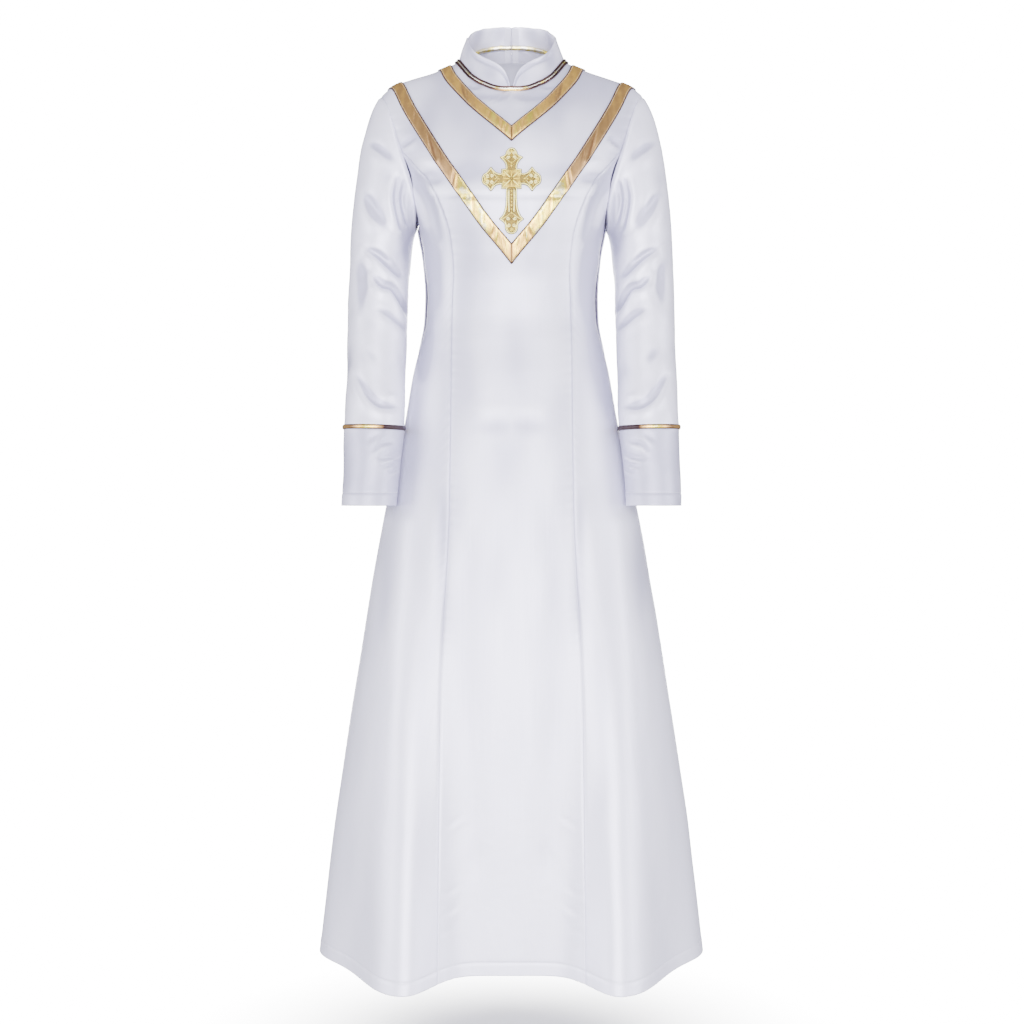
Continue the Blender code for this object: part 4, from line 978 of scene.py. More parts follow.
def buildCuff(hand, half):
    angles = armAngles()
    drops = [*np.linspace(0, 0.092, sleeve["cuffRows"]), *sleeve["cuffHem"]]
    cuff = np.stack([armRing(body["cuffSeam"] - drop, angles) for drop in drops])
    down = lengths(cuff)
    relief = armRelief(cuff, angles, hand, cuffCreases) + seamDip(down, sleeve["seam"], 0.0004)
    relief += underSeam(angles, down, sleeve["cuffPuckers"])
    relief += hemFold(down[-1:] - down, sleeve["hemDepth"], sleeve["hemGrooveWidth"])
    normals = outward(cuff, loop=True)
    cuff = cuff + normals * relief[..., None]
    hemLines.append((cuff[sleeve["stitched"]], normals[sleeve["stitched"]], hand))
    # Painted shade in the cuff's creases and over the whole cuff
    satinPiece(f"cuff_{half}", cuff, paintedCreaseLight(relief, sleeve["cuffPaintedShade"]), hand, sleeve["wall"])


for hand, half in halves:
    buildSleeve(hand, half)
    buildCuff(hand, half)
print("sleeves ready")


# Collar, open in a V at the front and split by the zip behind

collarLook = {
    "wall": 0.0018, "length": 0.232, "step": 0.0021, "firstAngle": 2.4,
    "rowStep": 0.0026, "fineRows": (0.0, 0.0007, 0.0016, 0.0028),
    "dipDeep": 0.0008, "rumple": (0.042, 0.00045, 21), "puckers": (0.0075, 0.00045, 0.0075, 61),
    "valley": (0.0066, 0.0022, -0.0027),  # beside the open front edge: how far in, width, depth
    "valleyEnd": 62, "edgeRoll": (0.0005, 0.0028), "backDip": (0.0009, 0.0016), "wave": (0.0006, 0.19),
    "cornerDip": (0.0016, 0.0022),  # at the zip
    # tone: painted shade over the whole collar
    "tone": -0.10,
}


def collarLean(angle):
    # From the neck seam up to the collar's top edge, as a unit step.
    base = neckSpot(angle)
    turn = np.radians(angle)
    top = body["collarTop"]
    middle, halfDepth = (top["back"] - top["front"]) / 2, (top["back"] + top["front"]) / 2
    rim = joined(top["half"] * np.sin(turn), middle - halfDepth * np.cos(turn))
    aside = rim - base[..., :2]
    rise = np.sqrt(body["collar"] ** 2 - (aside ** 2).sum(-1))
    return base, np.concatenate([aside, rise[..., None]], axis=-1) / body["collar"]


def neckFrame(angles):
    # Neck seam, the collar's step up from it, and the outward normals of collar and body there.
    base, upward = collarLean(angles)
    tangent = np.gradient(base, axis=0)
    tangent[[0, -1]] *= np.array([1, 0, 0])
    tangent = unit(tangent)
    fromNeck = base * np.array([1, 1, 0])
    collarOut = unit(np.cross(tangent, upward))
    collarOut = collarOut * np.sign((collarOut * fromNeck).sum(-1, keepdims=True))
    bodyOut = np.where((angles <= 90)[:, None], *(
        surfaceFrame(base[:, 0], riseAt(base[:, 0], base[:, 2], side), side)[1] for side in (front, back)))
    return base, upward, tangent, collarOut, bodyOut


def buildCollar(hand, half):
    look = collarLook
    run = spaced(look["length"], look["step"])
    dense = np.linspace(look["firstAngle"], 180, 721)
    total = lengths(collarLean(dense)[0])
    angles = np.interp(run * total[-1] / run[-1], total, dense)
    base, upward = collarLean(angles)
    height = collarEdge.at(angles)
    parts = spaced(body["collar"], look["rowStep"], look["fineRows"]) / body["collar"]
    up = parts[:, None] * height
    points = base + upward * up[..., None]
    fromEdge, fromFront = height - up, lengths(points, 1)
    toBack = fromFront[:, -1:] - fromFront
    relief = seamDip(up, look["dipDeep"], 0.0002) + rumple(mirrored(points, hand), *look["rumple"])
    inset, width, deep = look["valley"]
    opened = 1 - smoothStep((angles - look["valleyEnd"] + 12) / 12)
    relief += deep * bump(fromEdge - inset, width) * opened * smoothStep(up / 0.006)
    for gap, way, (height, width) in ((fromEdge, 1, look["edgeRoll"]), (toBack, -1, look["backDip"])):
        relief += way * height * bump(gap, width)
    pitch, height, reach, seed = look["puckers"]
    relief += puckers(up, toBack, pitch, height, reach, seed + hand)
    height, rate = look["wave"]
    relief += height * np.sin(angles * rate + hand) * smoothStep((up - 0.004) / 0.015)
    points = points + outward(points) * relief[..., None]
    height, width = look["cornerDip"]
    points = points - upward * (height * bump(toBack[-1], width) * parts[:, None])[..., None]
    # Painted shade in the collar's hollows and over the whole collar
    satinPiece(f"collar_{half}", points, paintedCreaseLight(relief, look["tone"]), hand, look["wall"])


for hand, half in halves:
    buildCollar(hand, half)
print("collar ready")


# Gold piping in the neck and cuff seams, and the gold that shows inside the back of the neck

piping = {
    "half": 0.0027, "thick": 0.0012, "clear": 0.0004, "sides": 12, "coreShare": 0.42, "coreSwell": 0.24,
    # shine: a painted highlight on the neck piping, brightest at the centre front; shineFade: how it fades
    # towards the back
    "coreLift": 0.0004, "shine": 1.03, "shineFade": (0.34, 70, 40),  # by how much, from where, how soon
    "edgeAt": 0.0026, "edgeRadius": (0.00145, 0.00120), "edgeLift": 0.0006, "edgeShine": 0.04,
    "bindingShare": 1.3, "bindingStart": 103, "bindingEndShade": 17, "bindingClear": 0.0019,
    "cuffClear": 0.0006, "cuffEdge": 0.00075, "cuffLean": 0.0009,
}
# Painted glints on the cuff piping, and one dark painted reflection:
cuffGlints = ((0.38, 82, 18), (0.25, 285, 22), (-0.32, 50, 10))  # change of shine, its angle, its spread


def buildNeckPiping():
    angles = np.linspace(0, 180, 91)
    base, _, tangent, collarOut, bodyOut = neckFrame(angles)
    outs = unit(collarOut + bodyOut)
    for _ in range(3):  # an even turn at the side of the neck, where front and back meet
        outs[1:-1] = unit(outs[:-2] + 2 * outs[1:-1] + outs[2:])
    alongs = unit(np.cross(tangent, outs))
    alongs = alongs * np.sign(alongs[:, 2:])
    lean = np.arccos(np.clip((outs * bodyOut).sum(-1), -1, 1))
    bulge = np.hypot(piping["half"] * np.sin(lean), piping["thick"] * np.cos(lean))
    centres = base + outs * ((bulge + piping["clear"]) / np.cos(lean))[:, None]
    centres, outs, alongs = (np.concatenate([mirrored(points[:0:-1], -1), points])
                             for points in (centres, outs, alongs))
    around = np.abs(np.concatenate([-angles[:0:-1], angles]))
    atFront = bump(around, 17)
    fade, start, reach = piping["shineFade"]
    # Painted highlight, brightest at the centre front and fading towards the back
    shine = piping["shine"] + 0.05 * np.sin(around * 0.33) - fade * smoothStep((around - start) / reach)
    core = piping["half"] * (piping["coreShare"] + piping["coreSwell"] * atFront)
    gold = tubeGrid(centres + outs * piping["coreLift"], outs, core, piping["thick"], piping["sides"])
    addPiece("neck_piping_gold", [(gold, tubeShine(shine))], goldLame, ["neck_piping"])
    # The rolled edges carry a painted reflection of the room's dark, less so at the centre front, where a
    # painted glint lightens them
    cords = []
    thick, thin = piping["edgeRadius"]
    for edge, size, glint in ((-1, 1.12, 0.86), (1, 0.92, 0.12)):
        way = centres + alongs * edge * piping["edgeAt"] + outs * piping["edgeLift"]
        radius = (thick - (thick - thin) * atFront) * size
        shine = piping["edgeShine"] + 0.05 * np.sin(around * 0.21) + glint * bump(around, 15)
        cords.append((tubeGrid(way, outs, radius, radius, 10), np.clip(tubeShine(shine), 0, 1)))
    addPiece("neck_piping_edges", cords, goldLame)


def buildBinding(hand, half):
    angles = np.linspace(piping["bindingStart"], 180, 48)
    base, upward, _, collarOut, _ = neckFrame(angles)
    fromEnd = angles - piping["bindingStart"]
    swell = np.clip(np.sin(np.clip(fromEnd / 26, 0, 1) * quarter), 0.12, 1)
    across, thick = (piping[side] * piping["bindingShare"] for side in ("half", "thick"))
    centres = base - collarOut * (collarLook["wall"] + piping["bindingClear"] + thick) + upward * across
    centres[-1, 0] = 0.0003
    # Painted shade at the binding's tapering ends
    shine = tubeShine(0.98 - 0.90 * bump(fromEnd, piping["bindingEndShade"]))
    grid = tubeGrid(centres, -collarOut, across * swell, thick * swell, piping["sides"])
    addPiece(f"neck_binding_{half}_gold", [(handed(grid, hand), shine)], goldLame,
             [f"neck_binding_{half}"])


def buildCuffPiping(hand, half):
    angles = np.linspace(0, 360, 121)[:-1]
    turn, seam = np.radians(angles), body["cuffSeam"]
    ring = armRing(seam, angles)
    ring[:, 2] += piping["cuffLean"] * np.cos(turn)
    outs = unit(joined(np.cos(turn) * armRings.at(seam, 3), -np.sin(turn) * armRings.at(seam, 2), 0))
    centres = ring + outs * (piping["thick"] + piping["cuffClear"])
    # Painted light on the cuff piping: a little lighter on the outside of the arm, with painted glints
    shine = 0.56 + 0.10 * np.cos(turn)
    shine += sum(gain * bump(angles - at, wide) for gain, at, wide in cuffGlints)
    # Painted shade under the arm
    shine -= 0.75 * smoothStep((angles - 104) / 16) * smoothStep((205 - angles) / 20)  # dark under the arm
    shine = np.concatenate([shine, shine[:1]])[:, None]
    gold = loopGrid(centres, outs, piping["half"], piping["thick"], piping["sides"])
    addPiece(f"cuff_piping_{half}_gold", [(handed(gold, hand), shine)], goldLame,
             [f"cuff_piping_{half}"])
    # Dark cords along both sides: a painted reflection of the room's dark in the piping's rounded sides
    cords = []
    for edge in (-1, 1):
        way = centres + np.array([0, 0, edge * piping["half"]]) - outs * 0.0004
        cords.append((handed(loopGrid(way, outs, piping["cuffEdge"], piping["cuffEdge"], 6), hand), 0.5))
    addPiece(f"cuff_piping_{half}_edges", cords, darkEdgeLines)


buildNeckPiping()
for hand, half in halves:
    buildBinding(hand, half)
    buildCuffPiping(hand, half)
print("piping ready")


# Gold bands, two each side, mitred at the centre front

bandLook = {
    "width": 0.0172, "thick": 0.0012, "clear": 0.0005, "wall": 0.0009, "step": 0.0016,
    "columns": (0.08, 0.2, 0.32, 0.41, 0.46, 0.485, 0.5), "stitchColumn": 3,  # shares of the width
    "edgeRadius": 0.00105, "edgeRoom": 0.0004, "stitch": (0.0027, 0.0019, 0.00022, 0.00015),
    "seamRise": quarter - 0.004, "plainBelow": -0.05, "tuck": 0.0017, "tuckWidth": 0.0017,
    "wrinkles": 0.6, "rumple": (0.016, 0.00010, 41), "mitre": (0.0005, 0.0011),
    # turnRate: painted shade in a wrinkle for each metre of it; glow: a faint painted shimmer; brightest:
    # the brightest painted reflection
    "turnRate": 130, "glow": 0.03, "brightest": 0.955, "beyond": 0.024,
}
bandPoints = {  # distance across and height of the middle line, from the shoulder seam down
    "inner": ((0.1030, None), (0.0922, -0.0225), (0.0612, -0.0650), (0.0192, -0.1060), (0.0, -0.1236)),
    "outer": ((0.1802, None), (0.1550, -0.0662), (0.1103, -0.1458), (0.0669, -0.2116), (0.0352, -0.2560),
              (0.0, -0.2971)),
}
# Where the gold changes from matt to bright, and how bright it is, by distance from the mitre: partly a
# smoother, more metallic finish, partly a painted reflection of the lamps in its colour
bandShine = {
    "inner": Rows((0.000, 0.42), (0.003, 0.76), (0.010, 0.90), (0.022, 0.82), (0.036, 0.91), (0.050, 0.87),
                  (0.060, 0.80), (0.070, 0.74), (0.085, 0.71), (0.108, 0.63), (0.120, 0.72), (0.170, 0.72)),
    "outer": Rows((0.000, 0.44), (0.004, 0.74), (0.012, 0.88), (0.020, 0.78), (0.030, 0.90), (0.041, 0.78),
                  (0.052, 0.94), (0.075, 0.95), (0.090, 0.93), (0.108, 0.99), (0.126, 0.90), (0.136, 0.72),
                  (0.142, 0.55), (0.160, 0.50), (0.190, 0.46), (0.215, 0.50), (0.240, 0.53), (0.285, 0.64),
                  (0.330, 0.66)),
}
bandCreases = {  # across the band and along it from the mitre
    "inner": creaseRows(
        (1.8, -0.6, 0.8, (-7, 10), (7, 16)),
        (1.8, -0.6, 0.8, (-7, 26), (6, 22)),
        (2.2, -0.6, 0.8, (-8, 44), (7, 50)),
        (2.6, -1.1, 0.8, (-6, 118), (1, 108), (7, 94)),
        (2, -0.8, 0.8, (-7, 104), (2, 96)),
        (2, -0.5, 0.8, (-6, 74), (6, 66))),
    "outer": creaseRows(
        (1.8, -0.7, 0.8, (-7, 19), (7, 13)),
        (2, -1, 0.8, (-8, 36), (0, 40), (7, 46)),
        (1.8, -0.8, 0.8, (-7, 28), (7, 32)),
        (2.2, -0.6, 0.8, (-7, 61), (6, 66)),
        (2.4, -0.7, 0.8, (-6, 92), (7, 88)),
        (2.2, -1.2, 0.9, (-8, 137), (8, 141)),
        (1.8, -0.8, 0.9, (-8, 130), (6, 131)),
        (3, -1.2, 0.7, (-6, 222), (0, 204), (6, 182)),
        (2.2, -0.9, 0.7, (0, 214), (6, 196), (8, 176)),
        (2.4, -0.7, 0.7, (-7, 182), (1, 170)),
        (2.6, -0.5, 0.7, (-7, 262), (6, 254))),
}


def chestRelief(x, z):
    # How the cloth under the trim stands off its plain form.
    spots = joined(x, -bodyDepth(x, z, front), z)
    return creased(bodyCreases[front], np.abs(x), z) + rumpled(spots, cloth["rumples"])


def bandLines(points, offsets):
    # Distance across and rise along lines beside the band's middle, each cut on the centre line.
    path = Rows(*((step, x, bandLook["seamRise"] if z is None else float(riseAt(np.array(x), z, front)))
                  for step, (x, z) in enumerate(points)))
    places = np.linspace(0, len(points) - 1, 500)
    x, rise = path.at(places), path.at(places, 1)
    z = heightAt(x, rise, front)
    heading = unit(np.array([x[-1] - x[-6], z[-1] - z[-6]]))
    beyond = np.linspace(0, bandLook["beyond"], 60)[1:]  # past the centre line, to be cut on it
    x, z = (np.concatenate([line, line[-1] + step * beyond]) for line, step in zip((x, z), heading))
    rise = np.concatenate([rise, riseAt(x[len(rise):], z[len(rise):], front)])
    middle, normals, across, upward = surfaceFrame(x, rise, front)
    tangents = unit(np.gradient(middle, axis=0))
    sideways = np.cross(normals, tangents)
    gram = [(a * b).sum(-1) for a, b in ((across, across), (across, upward), (upward, upward))]
    wanted = [(sideways * way).sum(-1) for way in (across, upward)]
    whole = gram[0] * gram[2] - gram[1] ** 2
    shiftX = (wanted[0] * gram[2] - wanted[1] * gram[1]) / whole
    shiftRise = (wanted[1] * gram[0] - wanted[0] * gram[1]) / whole
    run = lengths(middle)
    fromSeam = smoothStep(run / bandLook["width"])
    plain = smoothStep((bandLook["plainBelow"] - z) / 0.03)  # heights do where the chest is upright
    count = round(run[len(places) - 1] / bandLook["step"]) + 1
    lineX, lineRise = [], []
    for offset in offsets:
        beside = middle + sideways * offset
        besideX = (x + shiftX * offset) * (1 - plain) + beside[:, 0] * plain
        besideRise = np.minimum(rise + shiftRise * offset * fromSeam, bandLook["seamRise"]) * (1 - plain)
        besideRise = besideRise + riseAt(beside[:, 0], beside[:, 2], front) * plain
        cut = int(np.argmax(besideX <= 0))
        end = np.interp(0, [besideX[cut], besideX[cut - 1]], [run[cut], run[cut - 1]])
        spots = np.linspace(0, end, count)
        lineX.append(np.interp(spots, run, besideX))
        lineRise.append(np.interp(spots, run, besideRise))
    return np.stack(lineX, axis=1), np.stack(lineRise, axis=1)


def buildBand(title, hand, half):
    look, width = bandLook, bandLook["width"]
    offsets = width * np.array([*(-share for share in look["columns"][::-1]), *look["columns"]])
    x, rise = bandLines(bandPoints[title], offsets)
    points, normals, _, _ = surfaceFrame(x, rise, front)
    fromSeam = lengths(points)
    fromMitre = fromSeam[-1:] - fromSeam
    beside = offsets + 0 * x
    outer = np.abs(2 * beside / width)
    wrinkles = creased(bandCreases[title], beside, fromMitre) * look["wrinkles"]
    wrinkles = (wrinkles + rumple(mirrored(points, hand), *look["rumple"])) * (1 - outer ** 6)
    deep, spread = look["mitre"]
    lift = look["clear"] + look["edgeRoom"] + look["thick"] * (1 - 0.75 * outer ** 9) + wrinkles
    lift += chestRelief(x * hand, points[..., 2]) - deep * bump(fromMitre, spread)
    lift -= look["tuck"] * bump(fromSeam, look["tuckWidth"])  # into the shoulder seam
    made = points + normals * lift[..., None]
    # Painted reflection by distance from the mitre, painted shade in the wrinkles and a faint painted
    # shimmer
    shine = bandShine[title].at(fromMitre) + wrinkles * look["turnRate"]
    shine += look["glow"] * np.sin(fromMitre * 210 + beside * 160)
    shine = np.minimum(shine, look["brightest"])
    node = f"{title}_band_{half}"
    grids = [(handed(made[::-1], hand), shine[::-1] if hand > 0 else shine[::-1, ::-1])]
    addPiece(f"{node}_gold", grids, goldLame, [node], look["wall"])
    # Dark lines along both edges of the band, and a row of stitches inside each
    for end, inner in ((0, look["stitchColumn"]), (-1, -1 - look["stitchColumn"])):
        way, outs = made[:, end] - normals[:, end] * 0.0001, normals[:, end]
        edge = tubeGrid(way, outs, look["edgeRadius"], look["edgeRadius"], 6)
        bandEdges.append((handed(edge, hand), 0.5))
        bandStitches.extend(stitchRow(mirrored(made[:, inner], hand), mirrored(normals[:, inner], hand),
                                      *look["stitch"]))


bandEdges, bandStitches = [], []
for title in bandPoints:
    for hand, half in halves:
        buildBand(title, hand, half)
addPiece("band_edge_lines", bandEdges, darkEdgeLines)
addPiece("band_stitches", bandStitches, paleThread)
print("bands ready")


# Embroidered cross: a padded ground, a cord round its edge, scrolls, rays and beads

crossLook = {
    "height": -0.1927, "hub": 0.0142, "ground": 0.0012, "wall": 0.0009, "clear": 0.0006,
    "arms": {"top": (0.0460, (0, 1)), "bottom": (0.0770, (0, -1)),  # length and way
             "left": (0.0425, (-1, 0)), "right": (0.0425, (1, 0))},
    "lowHorns": 0.0062,  # how much further from its end the lower arm's horns stand
    "cord": 0.00070, "fine": 0.00044, "bead": 0.00115, "beadHalf": 0.0014,
    "beads": (0.0045, 0.0085), "lowBeads": (0.004, 0.0290), "endBead": 0.0056, "endRing": 0.0021,
    "knot": 0.00050, "knotHalf": 0.00055, "knotArch": 0.00012, "knotPitch": 0.0019, "knotRows": 0.87,
    "knotsFrom": 0.012, "knotsShort": 0.003, "knotClear": 0.0024, "knotColumns": 8,
    "raysFrom": 0.0016, "cornerScroll": 0.0021, "cornerReach": 0.0128, "cornerTurn": 0.30,
    "button": 0.0013, "buttonHalf": 0.0014, "buttonRing": 0.0019, "buttonCord": 0.0006,
    "stemFoot": 0.001, "stemWaist": 0.034, "stemShort": 0.0300, "stemSway": 0.0002,
}
# Lines round the edge, dark, pale and dark: inset, radius, height over the cloth, shine
crossEdges = ((0.0, 0.00065, 0.0004, 0.04), (0.0011, 0.00095, 0.0009, 0.95),
              (0.0022, 0.00044, 0.0011, 0.10))
# Scrolls in an arm: across, back from its end, share of its horns' shift, radius, turns, way round
crossScrolls = ((0.0040, 0.0088, 0.5, 0.0027, 1.4, 1), (0.0048, 0.0150, 1, 0.0025, 1.3, -1))
# Stems down the lower arm: across, cord, share of that cord's radius, shine
crossStems = ((0.0036, "cord", 1.2, 0.97), (0.0021, "fine", 1, 0.18))
# Rays over the hub: reach, radius and shine, with a long one to each corner
crossRays = ((0.0125, 0.00105, 0.66), (0.0088, 0.0007, 0.34), (0.0172, 0.00115, 0.90),
             (0.0088, 0.0007, 0.34))
# Veins in an arm: points across and back from its end, with the share of its horns' shift; radius, shine
crossVeins = (
    (((0.0014, 0.0225, 1), (0.0058, 0.0185, 1), (0.0100, 0.0158, 1), (0.0138, 0.0140, 1)), "fine", 0.92),
    (((0.0026, 0.0030, 0), (0.0052, 0.0056, 0), (0.0064, 0.0092, 0), (0.0092, 0.0126, 1)), "fine", 0.92),
    (((0.0006, 0.0245, 1), (0.0030, 0.0205, 1), (0.0022, 0.0160, 1), (0.0000, 0.0130, 1)), "fine", 0.30),
)


def outlineRows(*rows):
    # Rows in millimetres: distance back from an arm's end, half width there.
    return Rows(*((back / 1000, half / 1000) for back, half in rows))


crossSide = outlineRows(
    (0, 0), (0.5, 3.2), (1.5, 5.6), (3.5, 7.8), (5.8, 9), (8, 11.2),
    (10.4, 14.2), (12.2, 16.8), (13.2, 17.6), (14.3, 16.4), (16.8, 13), (20.5, 9.4), (24.5, 8),
    (30, 7.6), (100, 7.6))
crossEnds = {
    "left": crossSide, "right": crossSide,
    "top": outlineRows(
        (0, 0), (0.5, 2.8), (2, 4.6), (4, 6.4), (6.4, 7.7), (8.8, 8.3), (10.8, 9.7), (12.4, 12.4),
        (13.6, 15.4), (14.5, 16.2), (15.5, 15), (17.5, 13), (20.5, 10.6), (24.5, 8.6), (30, 7.6),
        (100, 7.6)),
    "bottom": outlineRows(
        (0, 0), (0.5, 3.4), (2, 6), (4.5, 7.8), (8, 8.9), (11.5, 9), (14.5, 10.3), (17, 13), (19, 16),
        (20.2, 17.6), (21.3, 16.6), (24.5, 13.4), (27.5, 11.6), (33, 9.5), (40, 8.2), (50, 7.7),
        (100, 7.6)),
}


def onChest(spots, lift):
    # Flat places on the cross, laid on the chest at a height over the cloth.
    x, z = spots[..., 0], crossLook["height"] + spots[..., 1]
    points, normals, _, _ = surfaceFrame(x, riseAt(x, z, front), front)
    stand = lift + crossLook["clear"] + chestRelief(x, z)
    return points + normals * np.asarray(stand)[..., None], normals


def turned(spots, way):
    # From an arm's own measures, across and along, to the cross.
    alongX, alongUp = way
    across, along = spots[..., 0], spots[..., 1]
    return joined(alongX * along + alongUp * across, alongUp * along - alongX * across)


def armBacks(title):
    # Places back from an arm's end, close together where its outline turns.
    length = crossLook["arms"][title][0]
    zone = 0.034 if title == "bottom" else 0.026
    return np.concatenate([[0.00003, 0.0003, 0.0006, 0.0010, 0.0015, 0.0022], np.linspace(0.0030, zone, 34),
                           np.linspace(zone + 0.0015, length - 0.010, 8)])


def crossGround():
    grids = []
    for title, (length, way) in crossLook["arms"].items():
        along = length - armBacks(title)[::-1]
        parts = np.linspace(-1, 1, 13)
        half = crossEnds[title].at(length - along)
        spots = turned(joined(half[:, None] * parts, along[:, None]), way)
        swell = crossLook["ground"] * (1 - 0.5 * np.abs(parts) ** 6) + 0 * along[:, None]
        tone = 0.15 + 0.10 * np.cos(along * 520)[:, None] * np.cos(parts * 5)
        grids.append((onChest(spots, swell)[0], tone))
    parts = np.linspace(-1, 1, 15)
    across, up = np.meshgrid(parts * crossLook["hub"], parts * crossLook["hub"])
    edge = np.maximum(np.abs(across), np.abs(up)) / crossLook["hub"]
    swell = crossLook["ground"] * (1.15 - 0.6 * edge ** 8)
    tone = 0.22 + 0.30 * np.hypot(across, up) / crossLook["hub"]
    grids.append((onChest(joined(across, up), swell)[0], tone))
    return grids


def cord(way, radius, lift, shine, sides, swell=1):
    # A cord laid on the ground along flat places.
    way = np.array(way, float)
    centres, outs = onChest(way, lift + radius * 0.35)
    return tubeGrid(centres, outs, radius * swell, radius * swell, sides), shine


def spindle(count, start, end):
    # How a bead or a ray swells and shrinks again from end to end.
    return np.sin(np.linspace(start, math.pi - end, count))


def crossOutline(inset=0.0):
    # Once round the edge, arm by arm, with a corner of the hub between two arms.
    hub = crossLook["hub"]
    way = []
    for title in ("top", "right", "bottom", "left"):
        length, direction = crossLook["arms"][title]
        backs = armBacks(title)
        backs = backs[backs < length - hub]
        half = crossEnds[title].at(backs)
        half[0] = 0
        side = joined(half, length - backs)
        left = side[::-1] * np.array([-1, 1])
        way.append(turned(np.concatenate([left, side[1:]]), direction))
        way.append(turned(np.array([[hub, hub]]), direction))
    way = np.concatenate(way)
    heading = unit(np.roll(way, -1, axis=0) - np.roll(way, 1, axis=0))
    return way + joined(heading[:, 1], -heading[:, 0]) * inset


def spiral(centre, radius, turns, start, hand, shrink=0.80, steps=22):
    t = np.linspace(0, 1, steps)
    size = radius * (1 - shrink * t)
    angle = start + hand * turns * 2 * math.pi * t
    return joined(centre[0] + size * np.cos(angle), centre[1] + size * np.sin(angle))


def ring(centre, radius, steps):
    return spiral(centre, radius, 1, 0, 1, 0, steps)


def crossKnots():
    # Rows of small knots that fill the ground inside the rim.
    pitch, knots = crossLook["knotPitch"], []
    spread = np.array([[-crossLook["knotHalf"], 0], [0, crossLook["knotArch"]], [crossLook["knotHalf"], 0]])
    swell, lift = np.array([0.6, 1, 0.6]), crossLook["ground"] * 0.9
    columns = range(-crossLook["knotColumns"], crossLook["knotColumns"] + 1)
    for title, (length, direction) in crossLook["arms"].items():
        rows = np.arange(crossLook["knotsFrom"], length - crossLook["knotsShort"],
                         pitch * crossLook["knotRows"])
        for row, along in enumerate(rows):
            half = float(crossEnds[title].at(length - along)) - crossLook["knotClear"]
            for column in columns:
                across = (column + (row % 2) / 2) * pitch
                if abs(across) < half:
                    way = turned(np.array([across, along]) + spread, direction)
                    knots.append(cord(way, crossLook["knot"], lift, 0.70, 5, swell))
    return knots


def armCords(title, length, direction):
    # Scrolls, veins and beads of one arm.
    hub, lower, endBead = crossLook["hub"], title == "bottom", length - crossLook["endBead"]
    low = crossLook["lowHorns"] if lower else 0.0
    cords = []

    def add(way, size="cord", shine=0.98, swell=1, share=1):
        way = turned(np.array(way, float), direction)
        cords.append(cord(way, crossLook[size] * share, crossLook["ground"], shine, 6, swell))

    for hand in (-1, 1):
        for across, down, share, size, turns, side in crossScrolls:
            curl = hand * side
            middle = (hand * across, length - down - low * share)
            add(spiral(middle, size, turns, (1 - curl) * quarter, curl))
        for points, size, shine in crossVeins:
            way = [(hand * across, length - down - low * share) for across, down, share in points]
            add(smoothWay(way, 8), size, shine)
        for across, size, share, shine in crossStems if lower else ():
            sway = crossLook["stemSway"]
            way = [(hand * across, hub + crossLook["stemFoot"]),
                   (hand * (across + sway), crossLook["stemWaist"]),
                   (hand * (across - sway), length - crossLook["stemShort"])]
            add(smoothWay(way, 8), size, shine, share=share)
    add(ring((0, endBead), crossLook["endRing"], 18), "fine", 0.88)
    beads = [hub + back for back in crossLook["beads"]]
    if lower:
        first, last = crossLook["lowBeads"]
        beads = np.linspace(hub + first, length - last, 7)
    half = crossLook["beadHalf"]
    for place in (*beads, endBead):
        way = joined(0, place + np.linspace(-half, half, 5))
        add(way, "bead", 0.80, spindle(5, 0.35, 0.35))
    return cords


def crossCords():
    # The lines round the edge, then what lies in the arms and over the hub.
    cords = []
    for inset, radius, lift, shine in crossEdges:
        centres, outs = onChest(crossOutline(inset), lift)
        cords.append((loopGrid(centres, outs, radius, radius, 7), shine))
    for title, (length, direction) in crossLook["arms"].items():
        cords += armCords(title, length, direction)
    fine, lift, first = crossLook["fine"], crossLook["ground"], crossLook["raysFrom"]
    for number in range(16):
        turn = number * math.pi / 8
        reach, size, shine = crossRays[number % 4]
        t = np.linspace(0, 1, 7)
        way = np.outer(first + (reach - first) * t, [math.cos(turn), math.sin(turn)])
        cords.append(cord(way, size, lift + 0.0002, shine, 6, spindle(7, 0.3, 0.25) ** 0.7))
    for corner in range(4):
        turn = math.pi / 4 + corner * quarter
        for hand in (-1, 1):
            aside = turn + hand * crossLook["cornerTurn"]
            middle = np.array([math.cos(aside), math.sin(aside)]) * crossLook["cornerReach"]
            scroll = spiral(middle, crossLook["cornerScroll"], 1.1, turn + math.pi, hand, 0.6, 14)
            cords.append(cord(scroll, fine, lift, 0.88, 6))
    way = ring((0, 0), crossLook["buttonRing"], 20)
    cords.append(cord(way, crossLook["buttonCord"], lift + 0.0009, 0.30, 6))
    half = crossLook["buttonHalf"]
    way = joined(np.linspace(-half, half, 7), 0)
    cords.append(cord(way, crossLook["button"], lift + 0.0006, 0.45, 8, spindle(7, 0.3, 0.3)))
    return cords + crossKnots()


addPiece("cross_ground", crossGround(), goldEmbroidery,
                           ["cross_applique"], crossLook["wall"])
addPiece("cross_cords", crossCords(), goldEmbroidery)
print("cross ready")


# Zip: tapes and coil inside the centre back; the slider and its tab are the frame's own

zipLook = {
    "length": 0.540, "columns": (0.0003, 0.0012, 0.003, 0.0055, 0.008, 0.0098, 0.0105), "wall": 0.0009,
    "neckClear": 0.010, "topClear": 0.003, "collarInset": 0.0011, "inset": 0.0027, "coilInset": 0.0041,
    "toothPitch": 0.0018, "toothEnds": (-0.0006, 0.0004, 0.0016, 0.0021),
    "toothSize": (0.00035, 0.00045, 0.00045, 0.0003), "toothDepth": 1.3,
    "coilFrom": 0.002, "coilShort": 0.010, "rows": 110, "collarRows": 12, "collarFrom": 0.002,
}


